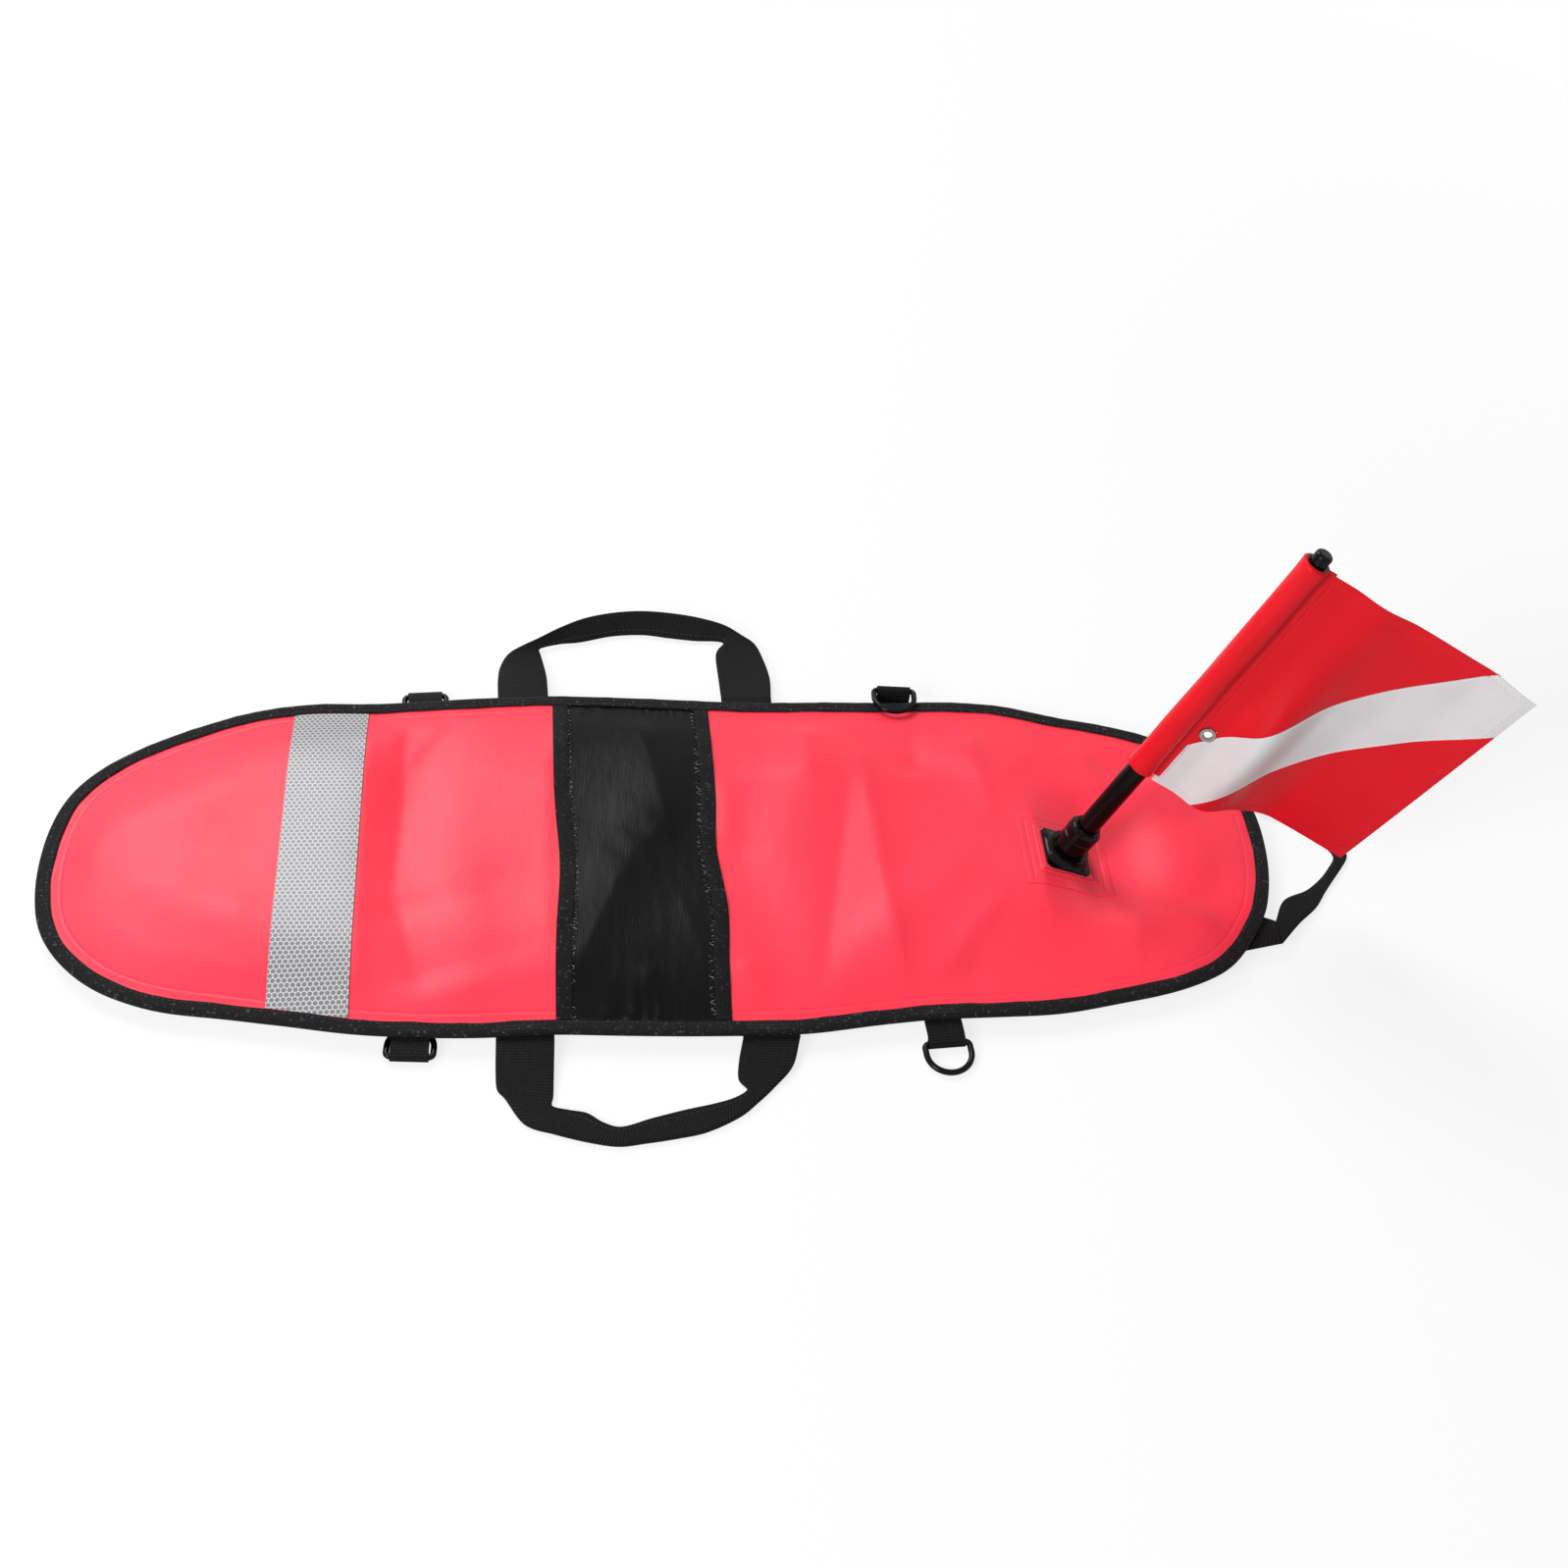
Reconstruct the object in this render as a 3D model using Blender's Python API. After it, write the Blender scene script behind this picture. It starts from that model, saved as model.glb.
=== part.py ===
# Dive flag float: a slack surfboard-shaped fabric float with a flag on a leaning mast.
# X runs along the float with its nose at -X, Y across it, Z up from the floor it lies on.
import math

import bmesh
import bpy
import numpy as np
from mathutils import Matrix, Vector
from mathutils.geometry import tessellate_polygon

for old in list(bpy.data.objects):
    bpy.data.objects.remove(old, do_unlink=True)

# Clearances and fabric, in metres
GAP = 0.0003
CUT_OVERRUN = 0.002
SKIN = 0.0009
TAPE = 0.0008
WEBBING = 0.0009
BLADDER_FILM = 0.0006
BLADDER_ROOM = 0.0016
BLADDER_SLACK = 0.014

# Board
BOARD_LENGTH = 0.830
BOARD_WIDTH = 0.298
NOSE_LENGTH = 0.295
TAIL_LENGTH = 0.395
NOSE_FULLNESS = 2.0
TAIL_FULLNESS = 2.7
END_BLUNTNESS = 3.0
EDGE_LIFT = 0.008
BINDING_SHOWN = 0.010
CROWN_RISE = 0.0090
CROWN_RUN = 0.085
KEEL_RUN = 0.042
FOLD_FADE = 0.030
NOSE_SPINE = 0.145

# Sewn pieces across the board, from the nose
BAND_START = 0.156
BAND_WIDTH = 0.0508
PANEL_START = 0.3355
PANEL_WIDTH = 0.1105
SEAM_WIDTH = 0.0100
BAND_TAPE = 0.0005

# Inflation valve in the underside
VALVE_FROM_TAIL = 0.265
VALVE_NECK_RADIUS = 0.0085
VALVE_BORE_RADIUS = 0.0065
VALVE_FLANGE_RADIUS = 0.0150
VALVE_FLANGE = 0.0010
VALVE_RECESS = 0.0006
VALVE_HEIGHT = 0.0080
VALVE_FLAP = 0.0008
VALVE_FLAP_RADIUS = 0.0078
VALVE_CAP_HEIGHT = 0.0034
VALVE_GRIP = 0.0016
VALVE_FINGER_ROOM = 0.0015

# Mast socket and mast
MAST_FROM_TAIL = 0.1470
MAST_OFFSET = -0.00775
MAST_TILT_DEG = 21.9
SEAT_HEIGHT = 0.0170
SEAT_FLAT = 0.034
SEAT_FADE = 0.032
SEAT_RUN_NOSE = 0.024
SEAT_RUN_TAIL = 0.0226
OUTER_PATCH_SIDE = 0.062
INNER_PATCH_SIDE = 0.042
FLANGE_SIDE = 0.0345
FLANGE_EDGE = 0.0012
FLANGE_RISE = 0.0046
FLANGE_BOSS_RADIUS = 0.0146
SOCKET_FLOOR = 0.0020
DRUM_RADIUS = 0.0115
DRUM_RING = 0.0014
DRUM_HEIGHT = 0.0192
COLLAR_RADIUS = 0.0117
COLLAR_HEIGHT = 0.0078
COLLAR_NECK_RADIUS = 0.0093
COLLAR_NECK = 0.0026
MAST_RADIUS = 0.0075
MAST_WALL = 0.0016
MAST_LENGTH = 0.2810
MAST_FOOT_HEIGHT = 0.0090
MAST_FOOT_LIP = 0.0010
MAST_CAP_LIP = 0.0008
MAST_CAP_RADIUS = 0.0058
MAST_CAP_HEIGHT = 0.0088
MAST_CAP_ROUNDING = 0.0024
MAST_CAP_STEM = 0.0100

# Flag
FLAG_BOTTOM = 0.0890
FLAG_HOIST = 0.1950
FLAG_FLY = 0.1600
FLAG_CLOTH = 0.0008
FLAG_TURN_DEG = -20.0
SLEEVE_BOTTOM = 0.0940
SLEEVE_TOP = 0.2842
SLEEVE_SLACK = 0.0008
SLEEVE_TAIL = 0.0140
FLAG_SWEEP = 0.031
FLAG_DIP = 0.011
FLAG_DIP_REST_SHARE = 0.3
FLAG_DIP_AT = 0.33
FLAG_DIP_FADE = 0.24
FLAG_CURL = 0.010
FLAG_CURL_RUN = 0.035
FLAG_DIP_START = 0.0305
FLAG_DIP_RUN = 0.040
FLAG_WAVE_START = 0.040
FLAG_WAVE_END = 0.105
STRIPE_HALF_HEIGHT = 0.0370
EYELET_RADIUS = 0.0055
EYELET_HOLE = 0.0029
EYELET_TUBE = 0.0005
EYELET_FLANGE = 0.0005
EYELET_ABOVE_HEM = 0.0520

# Webbing rings and their tabs
TAB_WIDTH = 0.0240
TAB_TUCK = 0.0090
RING_WIRE = 0.0020
RING_HALF_WIDTH = 0.0146
RING_DEPTH = 0.0220
RING_FULLNESS = 2.3
BAR_OUT = 0.0088
BAR_HEIGHT = 0.0033
RAISED_BAR_OUT = 0.0044
RAISED_BAR_ABOVE = 0.0030
NOSE_RING_FROM_NOSE = 0.246
TAIL_RING_FROM_TAIL = 0.248

# Carrying handles
HANDLE_WEB = 0.0013
HANDLE_FOLDED = 0.0028
HANDLE_FROM_NOSE = 0.395
HANDLE_HALF_SPAN = 0.0985
HANDLE_REACH = 0.0860
HANDLE_LEG = 0.0365
HINGE_OUT = 0.00095
HANDLE_TUCK = 0.0085
HANDLE_REST = 0.0016
END_HINGE_FROM_TAIL = 0.0085
END_HANDLE_REACH = 0.0700
END_LEG_OUTER = 0.0755
END_LEG_INNER = 0.0620
END_LEG_ROOT = 0.0980

# Values worked out from the driving dimensions
HALF_LENGTH = BOARD_LENGTH / 2
HALF_WIDTH = BOARD_WIDTH / 2
NOSE_SHOULDER = NOSE_LENGTH - HALF_LENGTH
TAIL_SHOULDER = HALF_LENGTH - TAIL_LENGTH
NOSE_SPINE_X = NOSE_SPINE - HALF_LENGTH
LOWER_SKIN_EDGE = EDGE_LIFT + TAPE + GAP
UPPER_SKIN_EDGE = LOWER_SKIN_EDGE + SKIN + GAP
BINDING_TOP = UPPER_SKIN_EDGE + SKIN + GAP + TAPE
MARGIN_TOP = UPPER_SKIN_EDGE + SKIN
SKIN_INSET = TAPE + GAP
CLEAR_INSET = BINDING_SHOWN + GAP
PANEL_NOSE_X = PANEL_START - HALF_LENGTH
PANEL_TAIL_X = PANEL_NOSE_X + PANEL_WIDTH
BAND_NOSE_X = BAND_START - HALF_LENGTH
BAND_TAIL_X = BAND_NOSE_X + BAND_WIDTH
MAST_X = HALF_LENGTH - MAST_FROM_TAIL
TAIL_SPINE_X = MAST_X + SEAT_RUN_TAIL
MAST_TILT = math.radians(MAST_TILT_DEG)
MAST_STACK = 2 * SKIN + 3 * GAP
SEAT = Vector((MAST_X, MAST_OFFSET, SEAT_HEIGHT))
SEAT_FRAME = Matrix.Translation(SEAT) @ Matrix.Rotation(MAST_TILT, 4, "Y")
VALVE_X = HALF_LENGTH - VALVE_FROM_TAIL
HINGE_ROOM = HANDLE_WEB / 2 + GAP
HANDLE_ROOT_Z = EDGE_LIFT - GAP - HANDLE_WEB / 2

# Counts
OUTLINE_POINTS = 1440
BINDING_STATIONS = 110
BEND_WEIGHT = 0.12
ROUND = 28
RING_STATIONS = 26
SOCKET_SIDES = 32
HINGE_TURNS_DEG = (28, 56, 80)
FLAG_COLUMNS = 12
FLAG_ROWS = 6
STRIPE_ROWS = 4
WIRE_SIDES = 6

# Soft folds of the slack skin: place along and across, heading in degrees,
# then length, width and height as shares of the half length, half width and crown
FOLD_SHARES = (
    (-0.80, 0.25, 35.0, 0.22, 0.16, 0.26),
    (-0.70, -0.35, -30.0, 0.20, 0.15, 0.22),
    (-0.42, 0.30, 82.0, 0.16, 0.14, -0.34),
    (-0.34, -0.35, 96.0, 0.20, 0.16, 0.24),
    (-0.07, 0.05, 60.0, 0.22, 0.20, 0.26),
    (0.14, -0.40, 100.0, 0.20, 0.16, -0.26),
    (0.22, 0.30, 70.0, 0.22, 0.18, 0.30),
    (0.40, -0.30, 45.0, 0.20, 0.14, 0.28),
    (0.44, 0.45, -40.0, 0.18, 0.13, -0.22),
    (0.86, 0.35, -35.0, 0.14, 0.18, -0.24),
    (0.88, -0.35, 35.0, 0.14, 0.18, -0.20),
)


# Sweep of the socket flange from its square edge up to the drum: shares of run and rise
FLANGE_SWEEP_SHARES = ((0.35, 0.10), (0.65, 0.39), (0.85, 0.70))


# Materials
def material(name, hex_colour, roughness, metallic=0.0):
    """A plain finish from an sRGB hex colour."""
    made = bpy.data.materials.new(name)
    made.use_nodes = True
    shader = made.node_tree.nodes["Principled BSDF"]
    channels = [int(hex_colour[i:i + 2], 16) / 255 for i in (0, 2, 4)]
    shader.inputs["Base Color"].default_value = [c ** 2.2 for c in channels] + [1.0]
    shader.inputs["Roughness"].default_value = roughness
    shader.inputs["Metallic"].default_value = metallic
    return made


CORAL_FABRIC = material("coral_coated_fabric", "FF4A5C", 0.45)
BLACK_NYLON = material("black_nylon", "1A1A1C", 0.40)
BLACK_WEBBING = material("black_webbing", "202022", 0.75)
REFLECTIVE_TAPE = material("reflective_tape", "B8B8B8", 0.35)
BLADDER_PLASTIC = material("bladder_film", "D8DCE0", 0.30)
BLACK_MOULDED = material("black_moulded", "101012", 0.18)
BLACK_TUBE = material("black_tube", "18181A", 0.50)
VALVE_PLASTIC = material("valve_plastic", "2A2A2C", 0.40)
FLAG_RED = material("flag_red_nylon", "D81824", 0.55)
FLAG_WHITE = material("flag_white_nylon", "E6E6E8", 0.55)
NICKEL = material("nickel_plate", "C8C8C8", 0.25, 1.0)


# Mesh helpers
def finish(name, mesh, finish_material, parent=None, frame=None, smooth_deg=35.0):
    """Turn a bmesh into a named object with clean outward faces."""
    bmesh.ops.remove_doubles(mesh, verts=mesh.verts, dist=GAP / 100)
    bmesh.ops.dissolve_degenerate(mesh, edges=mesh.edges, dist=GAP / 100)
    bmesh.ops.recalc_face_normals(mesh, faces=mesh.faces)
    data = bpy.data.meshes.new(name)
    mesh.to_mesh(data)
    mesh.free()
    data.materials.append(finish_material)
    made = bpy.data.objects.new(name, data)
    bpy.context.collection.objects.link(made)
    data.shade_smooth()
    data.set_sharp_from_angle(angle=math.radians(smooth_deg))
    if frame is not None:
        made.matrix_world = frame
    if parent is not None:
        made.parent = parent
    return made


def empty(name, frame):
    """A guide that carries a moving group on its joint's axis."""
    made = bpy.data.objects.new(name, None)
    bpy.context.collection.objects.link(made)
    made.matrix_world = frame
    return made


def skin_rows(mesh, rows, wrap_rows, wrap_row):
    """Join rows of points by triangles, closing either way round where asked."""
    verts = [[mesh.verts.new(point) for point in row] for row in rows]
    count = len(verts)
    width = len(verts[0])
    for i in range(count if wrap_rows else count - 1):
        upper = verts[i]
        lower = verts[(i + 1) % count]
        for j in range(width if wrap_row else width - 1):
            k = (j + 1) % width
            mesh.faces.new((upper[j], upper[k], lower[k]))
            mesh.faces.new((upper[j], lower[k], lower[j]))
    return verts


def swept(sections, closed):
    """A solid through a run of equal closed sections, capped unless it is a ring."""
    mesh = bmesh.new()
    verts = skin_rows(mesh, sections, closed, True)
    if not closed:
        mesh.faces.new(verts[0])
        mesh.faces.new(list(reversed(verts[-1])))
    return mesh


def slab(top_rows, low_rows, closed=False, spine=False):
    """A thin closed sheet between two grids of points; spine rows meet at their last points."""
    mesh = bmesh.new()
    top = skin_rows(mesh, top_rows, closed, False)
    low = skin_rows(mesh, low_rows, closed, False)
    count = len(top)
    for column in (0,) if spine else (0, -1):
        for i in range(count if closed else count - 1):
            k = (i + 1) % count
            mesh.faces.new((top[i][column], top[k][column], low[k][column], low[i][column]))
    if not closed:
        for row in (0, -1):
            for j in range(len(top[0]) - 1):
                mesh.faces.new((top[row][j], top[row][j + 1], low[row][j + 1], low[row][j]))
    return mesh


def turned(profile, sides=ROUND, through=False):
    """Spin a profile of radius and height about Z; through keeps an open bore."""
    mesh = bmesh.new()
    rows = []
    for i in range(sides):
        turn = 2 * math.pi * i / sides
        rows.append([(r * math.cos(turn), r * math.sin(turn), z) for r, z in profile])
    skin_rows(mesh, rows, True, through)
    return mesh


def prism(outline, holes, depth, place):
    """Extrude a flat outline with holes; place maps outline point and depth to space."""
    loops = [outline] + holes
    flat = [[Vector((a, b, 0)) for a, b in loop] for loop in loops]
    triangles = tessellate_polygon(flat)
    mesh = bmesh.new()
    ends = []
    for offset in (-depth / 2, depth / 2):
        ends.append([mesh.verts.new(place(a, b, offset)) for loop in loops for a, b in loop])
    for verts in ends:
        for corners in triangles:
            mesh.faces.new([verts[i] for i in corners])
    start = 0
    for loop in loops:
        for i in range(len(loop)):
            a = start + i
            b = start + (i + 1) % len(loop)
            mesh.faces.new((ends[0][a], ends[0][b], ends[1][b], ends[1][a]))
        start += len(loop)
    return mesh


def trim(target, cutter, operation="DIFFERENCE"):
    """Cut a piece by a guide solid, or keep what lies within it, and delete the guide."""
    boolean = target.modifiers.new("trim", "BOOLEAN")
    boolean.operation = operation
    boolean.object = cutter
    cutter.hide_render = True
    cutter.display_type = "WIRE"
    bpy.context.view_layer.update()
    settled = target.evaluated_get(bpy.context.evaluated_depsgraph_get())
    data = bpy.data.meshes.new_from_object(settled)
    target.modifiers.clear()
    target.data = data
    bpy.data.objects.remove(cutter, do_unlink=True)


def smooth(share):
    """Ease from 0 to 1."""
    share = min(max(share, 0.0), 1.0)
    return share * share * (3 - 2 * share)


# Plan of the board
def half_width(x):
    """Half the board's width at a place along it, blunt at both ends."""
    if x < NOSE_SHOULDER:
        share, fullness = (NOSE_SHOULDER - x) / NOSE_LENGTH, NOSE_FULLNESS
    elif x > TAIL_SHOULDER:
        share, fullness = (x - TAIL_SHOULDER) / TAIL_LENGTH, TAIL_FULLNESS
    else:
        share, fullness = 0.0, 1.0
    return HALF_WIDTH * (1 - min(share, 1.0) ** fullness) ** (1 / END_BLUNTNESS)


def board_outline():
    """Even points round the board's edge from the nose tip, with outward normals."""
    run = np.linspace(0, 1, 200)
    nose = NOSE_SHOULDER - NOSE_LENGTH * (1 - run ** END_BLUNTNESS)
    middle = np.linspace(NOSE_SHOULDER, TAIL_SHOULDER, 60)[1:-1]
    tail = TAIL_SHOULDER + TAIL_LENGTH * (1 - run[::-1] ** END_BLUNTNESS)
    along = np.concatenate([nose, middle, tail])
    across = np.array([half_width(x) for x in along])
    side = np.column_stack([along, across])
    loop = np.concatenate([side, (side * (1, -1))[::-1][1:-1]])
    ring = np.vstack([loop, loop[:1]])
    length = np.concatenate([[0], np.cumsum(np.hypot(*np.diff(ring, axis=0).T))])
    even = np.linspace(0, length[-1], OUTLINE_POINTS, endpoint=False)
    points = np.column_stack([np.interp(even, length, ring[:, i]) for i in (0, 1)])
    heading = np.roll(points, -3, axis=0) - np.roll(points, 3, axis=0)
    heading /= np.hypot(*heading.T)[:, None]
    return points, np.column_stack([-heading[:, 1], heading[:, 0]])


OUTLINE, OUTWARD = board_outline()


def edge_distance(x, y):
    """How far a point lies inside the board's edge."""
    return float(np.min(np.hypot(OUTLINE[:, 0] - x, OUTLINE[:, 1] - y)))


def reach(origin_x, angle, inset):
    """Distance from a spine point to the inset edge, along one heading."""
    loop = OUTLINE - OUTWARD * inset - (origin_x, 0)
    headings = np.arctan2(loop[:, 1], loop[:, 0])
    return float(np.interp(angle, headings, np.hypot(*loop.T), period=2 * math.pi))


# Heights of the slack skins
def fold_height(x, y):
    """The broad folds of the slack upper skin."""
    total = 0.0
    for along, across, heading, length, width, height in FOLD_SHARES:
        turn = math.radians(heading)
        dx = x - along * HALF_LENGTH
        dy = y - across * HALF_WIDTH
        down = dx * math.cos(turn) + dy * math.sin(turn)
        side = dy * math.cos(turn) - dx * math.sin(turn)
        spread = (down / (length * HALF_LENGTH)) ** 2 + (side / (width * HALF_WIDTH)) ** 2
        total += height * CROWN_RISE * math.exp(-spread)
    return total


def upper_skin(x, y):
    """Top of the upper skin: crowned, folded, and tilted under the mast socket."""
    inside = edge_distance(x, y) - CLEAR_INSET
    share = min(max(inside / CROWN_RUN, 0.0), 1.0)
    free = MARGIN_TOP + CROWN_RISE * (1 - (1 - share) ** 2)
    free += fold_height(x, y) * smooth(inside / FOLD_FADE)
    run = min(max(x - MAST_X, -SEAT_RUN_NOSE), SEAT_RUN_TAIL)
    seat = SEAT_HEIGHT - math.tan(MAST_TILT) * run - MAST_STACK
    away = ((x - MAST_X) ** 4 + (y - MAST_OFFSET) ** 4) ** 0.25
    held = 1 - smooth((away - SEAT_FLAT) / SEAT_FADE)
    return free + (seat - free) * held


def lower_skin(x, y):
    """Underside of the lower skin: flat on the floor, lifted to the sewn edge."""
    inside = edge_distance(x, y) - CLEAR_INSET
    return LOWER_SKIN_EDGE * (1 - smooth(inside / KEEL_RUN))


# Rays from the spine to the edge, which every skin shares
def middle_rays(stations, angle):
    return [(x, angle) for x in stations]


def fan(origin_x, start, stop, count):
    return [(origin_x, start + (stop - start) * i / count) for i in range(count + 1)]


FAR = math.pi / 2
NEAR = -math.pi / 2
RING_INSETS = (0.0104, 0.0160, 0.0260, 0.0430, 0.0660)
INNER_RING_SHARES = (0.72, 0.46, 0.27, 0.13, 0.0)


def ray_points(ray, insets, shares):
    """Plan points along one ray, from the edge to the spine."""
    origin_x, angle = ray
    radii = [reach(origin_x, angle, inset) for inset in insets]
    radii += [radii[-1] * share for share in shares]
    return [(origin_x + r * math.cos(angle), r * math.sin(angle)) for r in radii]


def raised(plan_rows, height, lift):
    """Put plan points at a surface's height plus a lift."""
    return [[(x, y, height(x, y) + lift) for x, y in row] for row in plan_rows]


def spaced(start, stop, count):
    return [start + (stop - start) * i / count for i in range(count + 1)]


def board_pieces():
    """The sewn cover: skins, black panel, seams, reflective band and binding."""
    insets = (SKIN_INSET,) + RING_INSETS
    band_x = spaced(BAND_NOSE_X, BAND_TAIL_X, 3)
    nose_x = spaced(PANEL_NOSE_X - GAP / 2, BAND_TAIL_X, 5)[:-1] + band_x[::-1]
    nose_fan = fan(NOSE_SPINE_X, FAR, FAR + math.pi, 16)
    nose_rays = middle_rays(nose_x, FAR) + nose_fan + middle_rays(nose_x[::-1], NEAR)
    rows = [ray_points(ray, insets, INNER_RING_SHARES) for ray in nose_rays]
    top = raised(rows, upper_skin, 0)
    finish("nose_skin", slab(top, raised(rows, upper_skin, -SKIN), False, True),
           CORAL_FABRIC)

    far_rows = [ray_points((x, FAR), RING_INSETS, INNER_RING_SHARES) for x in band_x]
    near_rows = [ray_points((x, NEAR), RING_INSETS, INNER_RING_SHARES) for x in band_x]
    rows = [far[:-1] + near[::-1] for far, near in zip(far_rows, near_rows)]
    low = raised(rows, upper_skin, GAP)
    finish("reflective_band", slab(raised(rows, upper_skin, GAP + BAND_TAPE), low), REFLECTIVE_TAPE)

    near_mast_x = spaced(MAST_X - SEAT_FLAT - SEAT_FADE, MAST_X - SEAT_RUN_NOSE, 4)[:-1]
    near_mast_x += spaced(MAST_X - SEAT_RUN_NOSE, TAIL_SPINE_X, 4)
    tail_x = spaced(PANEL_TAIL_X + GAP / 2, near_mast_x[0], 6)[:-1] + near_mast_x
    tail_fan = fan(TAIL_SPINE_X, FAR, NEAR, 16)
    tail_rays = middle_rays(tail_x, FAR) + tail_fan[1:-1] + middle_rays(tail_x[::-1], NEAR)
    rows = [ray_points(ray, insets, INNER_RING_SHARES) for ray in tail_rays]
    top = raised(rows, upper_skin, 0)
    finish("tail_skin", slab(top, raised(rows, upper_skin, -SKIN), False, True),
           CORAL_FABRIC)

    inner = PANEL_WIDTH - 2 * SEAM_WIDTH
    seam_end = PANEL_NOSE_X + GAP / 2 + SEAM_WIDTH
    panel_x = [PANEL_NOSE_X + GAP / 2] + spaced(seam_end, seam_end + inner - GAP, 5)
    panel_x += [PANEL_TAIL_X - GAP / 2]
    across = []
    for x in panel_x:
        far = ray_points((x, FAR), insets, INNER_RING_SHARES)
        near = ray_points((x, NEAR), insets, INNER_RING_SHARES)
        across.append(far[:-1] + near[::-1])
    top = raised(across, upper_skin, 0)
    finish("centre_panel", slab(top, raised(across, upper_skin, -SKIN)), BLACK_NYLON)
    for name, rows in (("nose_seam", across[:2]), ("tail_seam", across[-2:])):
        rows = [row[1:-1] for row in rows]
        low = raised(rows, upper_skin, GAP)
        finish(name, slab(raised(rows, upper_skin, GAP + TAPE), low), BLACK_WEBBING)

    rays = middle_rays(spaced(TAIL_SPINE_X, NOSE_SPINE_X, 9)[:-1], FAR)
    rays += fan(NOSE_SPINE_X, FAR, FAR + math.pi, 14)
    rays += middle_rays(spaced(NOSE_SPINE_X, TAIL_SPINE_X, 9)[1:-1], NEAR)
    rays += fan(TAIL_SPINE_X, NEAR, FAR, 14)[:-1]
    keel_insets = (SKIN_INSET, CLEAR_INSET, 0.018, 0.028, 0.040, CLEAR_INSET + KEEL_RUN)
    rows = [ray_points(ray, keel_insets, (0.5, 0.0)) for ray in rays]
    top = raised(rows, lower_skin, SKIN)
    lower = finish("bottom_skin", slab(top, raised(rows, lower_skin, 0), True, True),
                   CORAL_FABRIC)
    hole = turned([(0, -CUT_OVERRUN), (VALVE_NECK_RADIUS + VALVE_FINGER_ROOM, -CUT_OVERRUN),
                   (VALVE_NECK_RADIUS + VALVE_FINGER_ROOM, SKIN + CUT_OVERRUN),
                   (0, SKIN + CUT_OVERRUN)])
    trim(lower, finish("hole", hole, CORAL_FABRIC, None, Matrix.Translation((VALVE_X, 0, 0))))
    binding()
    bladder()


def binding():
    """Woven tape folded round the sewn edge, seen in section as a lying U."""
    corner = TAPE + GAP
    z0, z1, t, width = EDGE_LIFT, BINDING_TOP, TAPE, BINDING_SHOWN - GAP
    bend = corner * (1 - math.sqrt(0.5))
    section = [(width, z0), (corner, z0), (bend, z0 + bend), (0, z0 + corner),
               (0, z1 - corner), (bend, z1 - bend), (corner, z1), (width, z1),
               (width, z1 - t), (t, z1 - t), (t, z0 + t), (width, z0 + t)]
    heading = np.unwrap(np.arctan2(OUTWARD[:, 1], OUTWARD[:, 0]))
    bends = np.abs(np.diff(heading, append=heading[:1] + math.copysign(2 * math.pi, heading[-1])))
    spacing = np.hypot(*np.diff(OUTLINE, axis=0, append=OUTLINE[:1]).T)
    measure = np.cumsum(spacing + BEND_WEIGHT * bends)
    rings = []
    for share in spaced(0, measure[-1], BINDING_STATIONS)[:-1]:
        k = int(np.searchsorted(measure, share))
        point, out = OUTLINE[k], OUTWARD[k]
        rings.append([(*(point - out * inset), z) for inset, z in section])
    finish("edge_binding", swept(rings, True), BLACK_WEBBING)


def bladder():
    """Welded film bag inside the cover, open at the valve's neck."""
    def top(x, y):
        around = [(0, 0)] + [(BLADDER_SLACK * math.cos(a), BLADDER_SLACK * math.sin(a))
                             for a in angles(6)]
        room = min(upper_skin(x + dx, y + dy) for dx, dy in around) - SKIN - BLADDER_ROOM
        least = floor(x, y) + 3 * BLADDER_FILM
        return max(room, least)

    def floor(x, y):
        return lower_skin(x, y) + SKIN + 2 * GAP

    insets = (0.024, 0.033, 0.045, 0.066)
    rays = middle_rays(spaced(TAIL_SPINE_X, NOSE_SPINE_X, 14)[:-1], FAR)
    rays += fan(NOSE_SPINE_X, FAR, FAR + math.pi, 14)
    rays += middle_rays(spaced(NOSE_SPINE_X, TAIL_SPINE_X, 14)[1:-1], NEAR)
    rays += fan(TAIL_SPINE_X, NEAR, FAR, 14)[:-1]
    rows = [ray_points(ray, insets, (0.5, 0.0)) for ray in rays]
    bag = finish("air_bladder", slab(raised(rows, top, 0), raised(rows, floor, 0), True, True),
                 BLADDER_PLASTIC)
    end_x = MAST_X - SEAT_FLAT - SEAT_FADE
    x_rows = spaced(end_x, NOSE_SPINE_X, 6)
    rays = middle_rays(x_rows[:-1], FAR) + fan(NOSE_SPINE_X, FAR, FAR + math.pi, 8)
    rays += middle_rays(x_rows[::-1][1:], NEAR)
    rows = [ray_points(ray, (0.045, 0.066), (0.5, 0.0)) for ray in rays]
    room = slab(raised(rows, top, -BLADDER_FILM), raised(rows, floor, BLADDER_FILM), False, True)
    trim(bag, finish("room", room, BLADDER_PLASTIC))
    neck = VALVE_NECK_RADIUS + GAP
    hole = turned([(0, 0), (neck, 0), (neck, VALVE_HEIGHT / 2), (0, VALVE_HEIGHT / 2)])
    trim(bag, finish("hole", hole, BLADDER_PLASTIC, None, Matrix.Translation((VALVE_X, 0, 0))))


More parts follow.
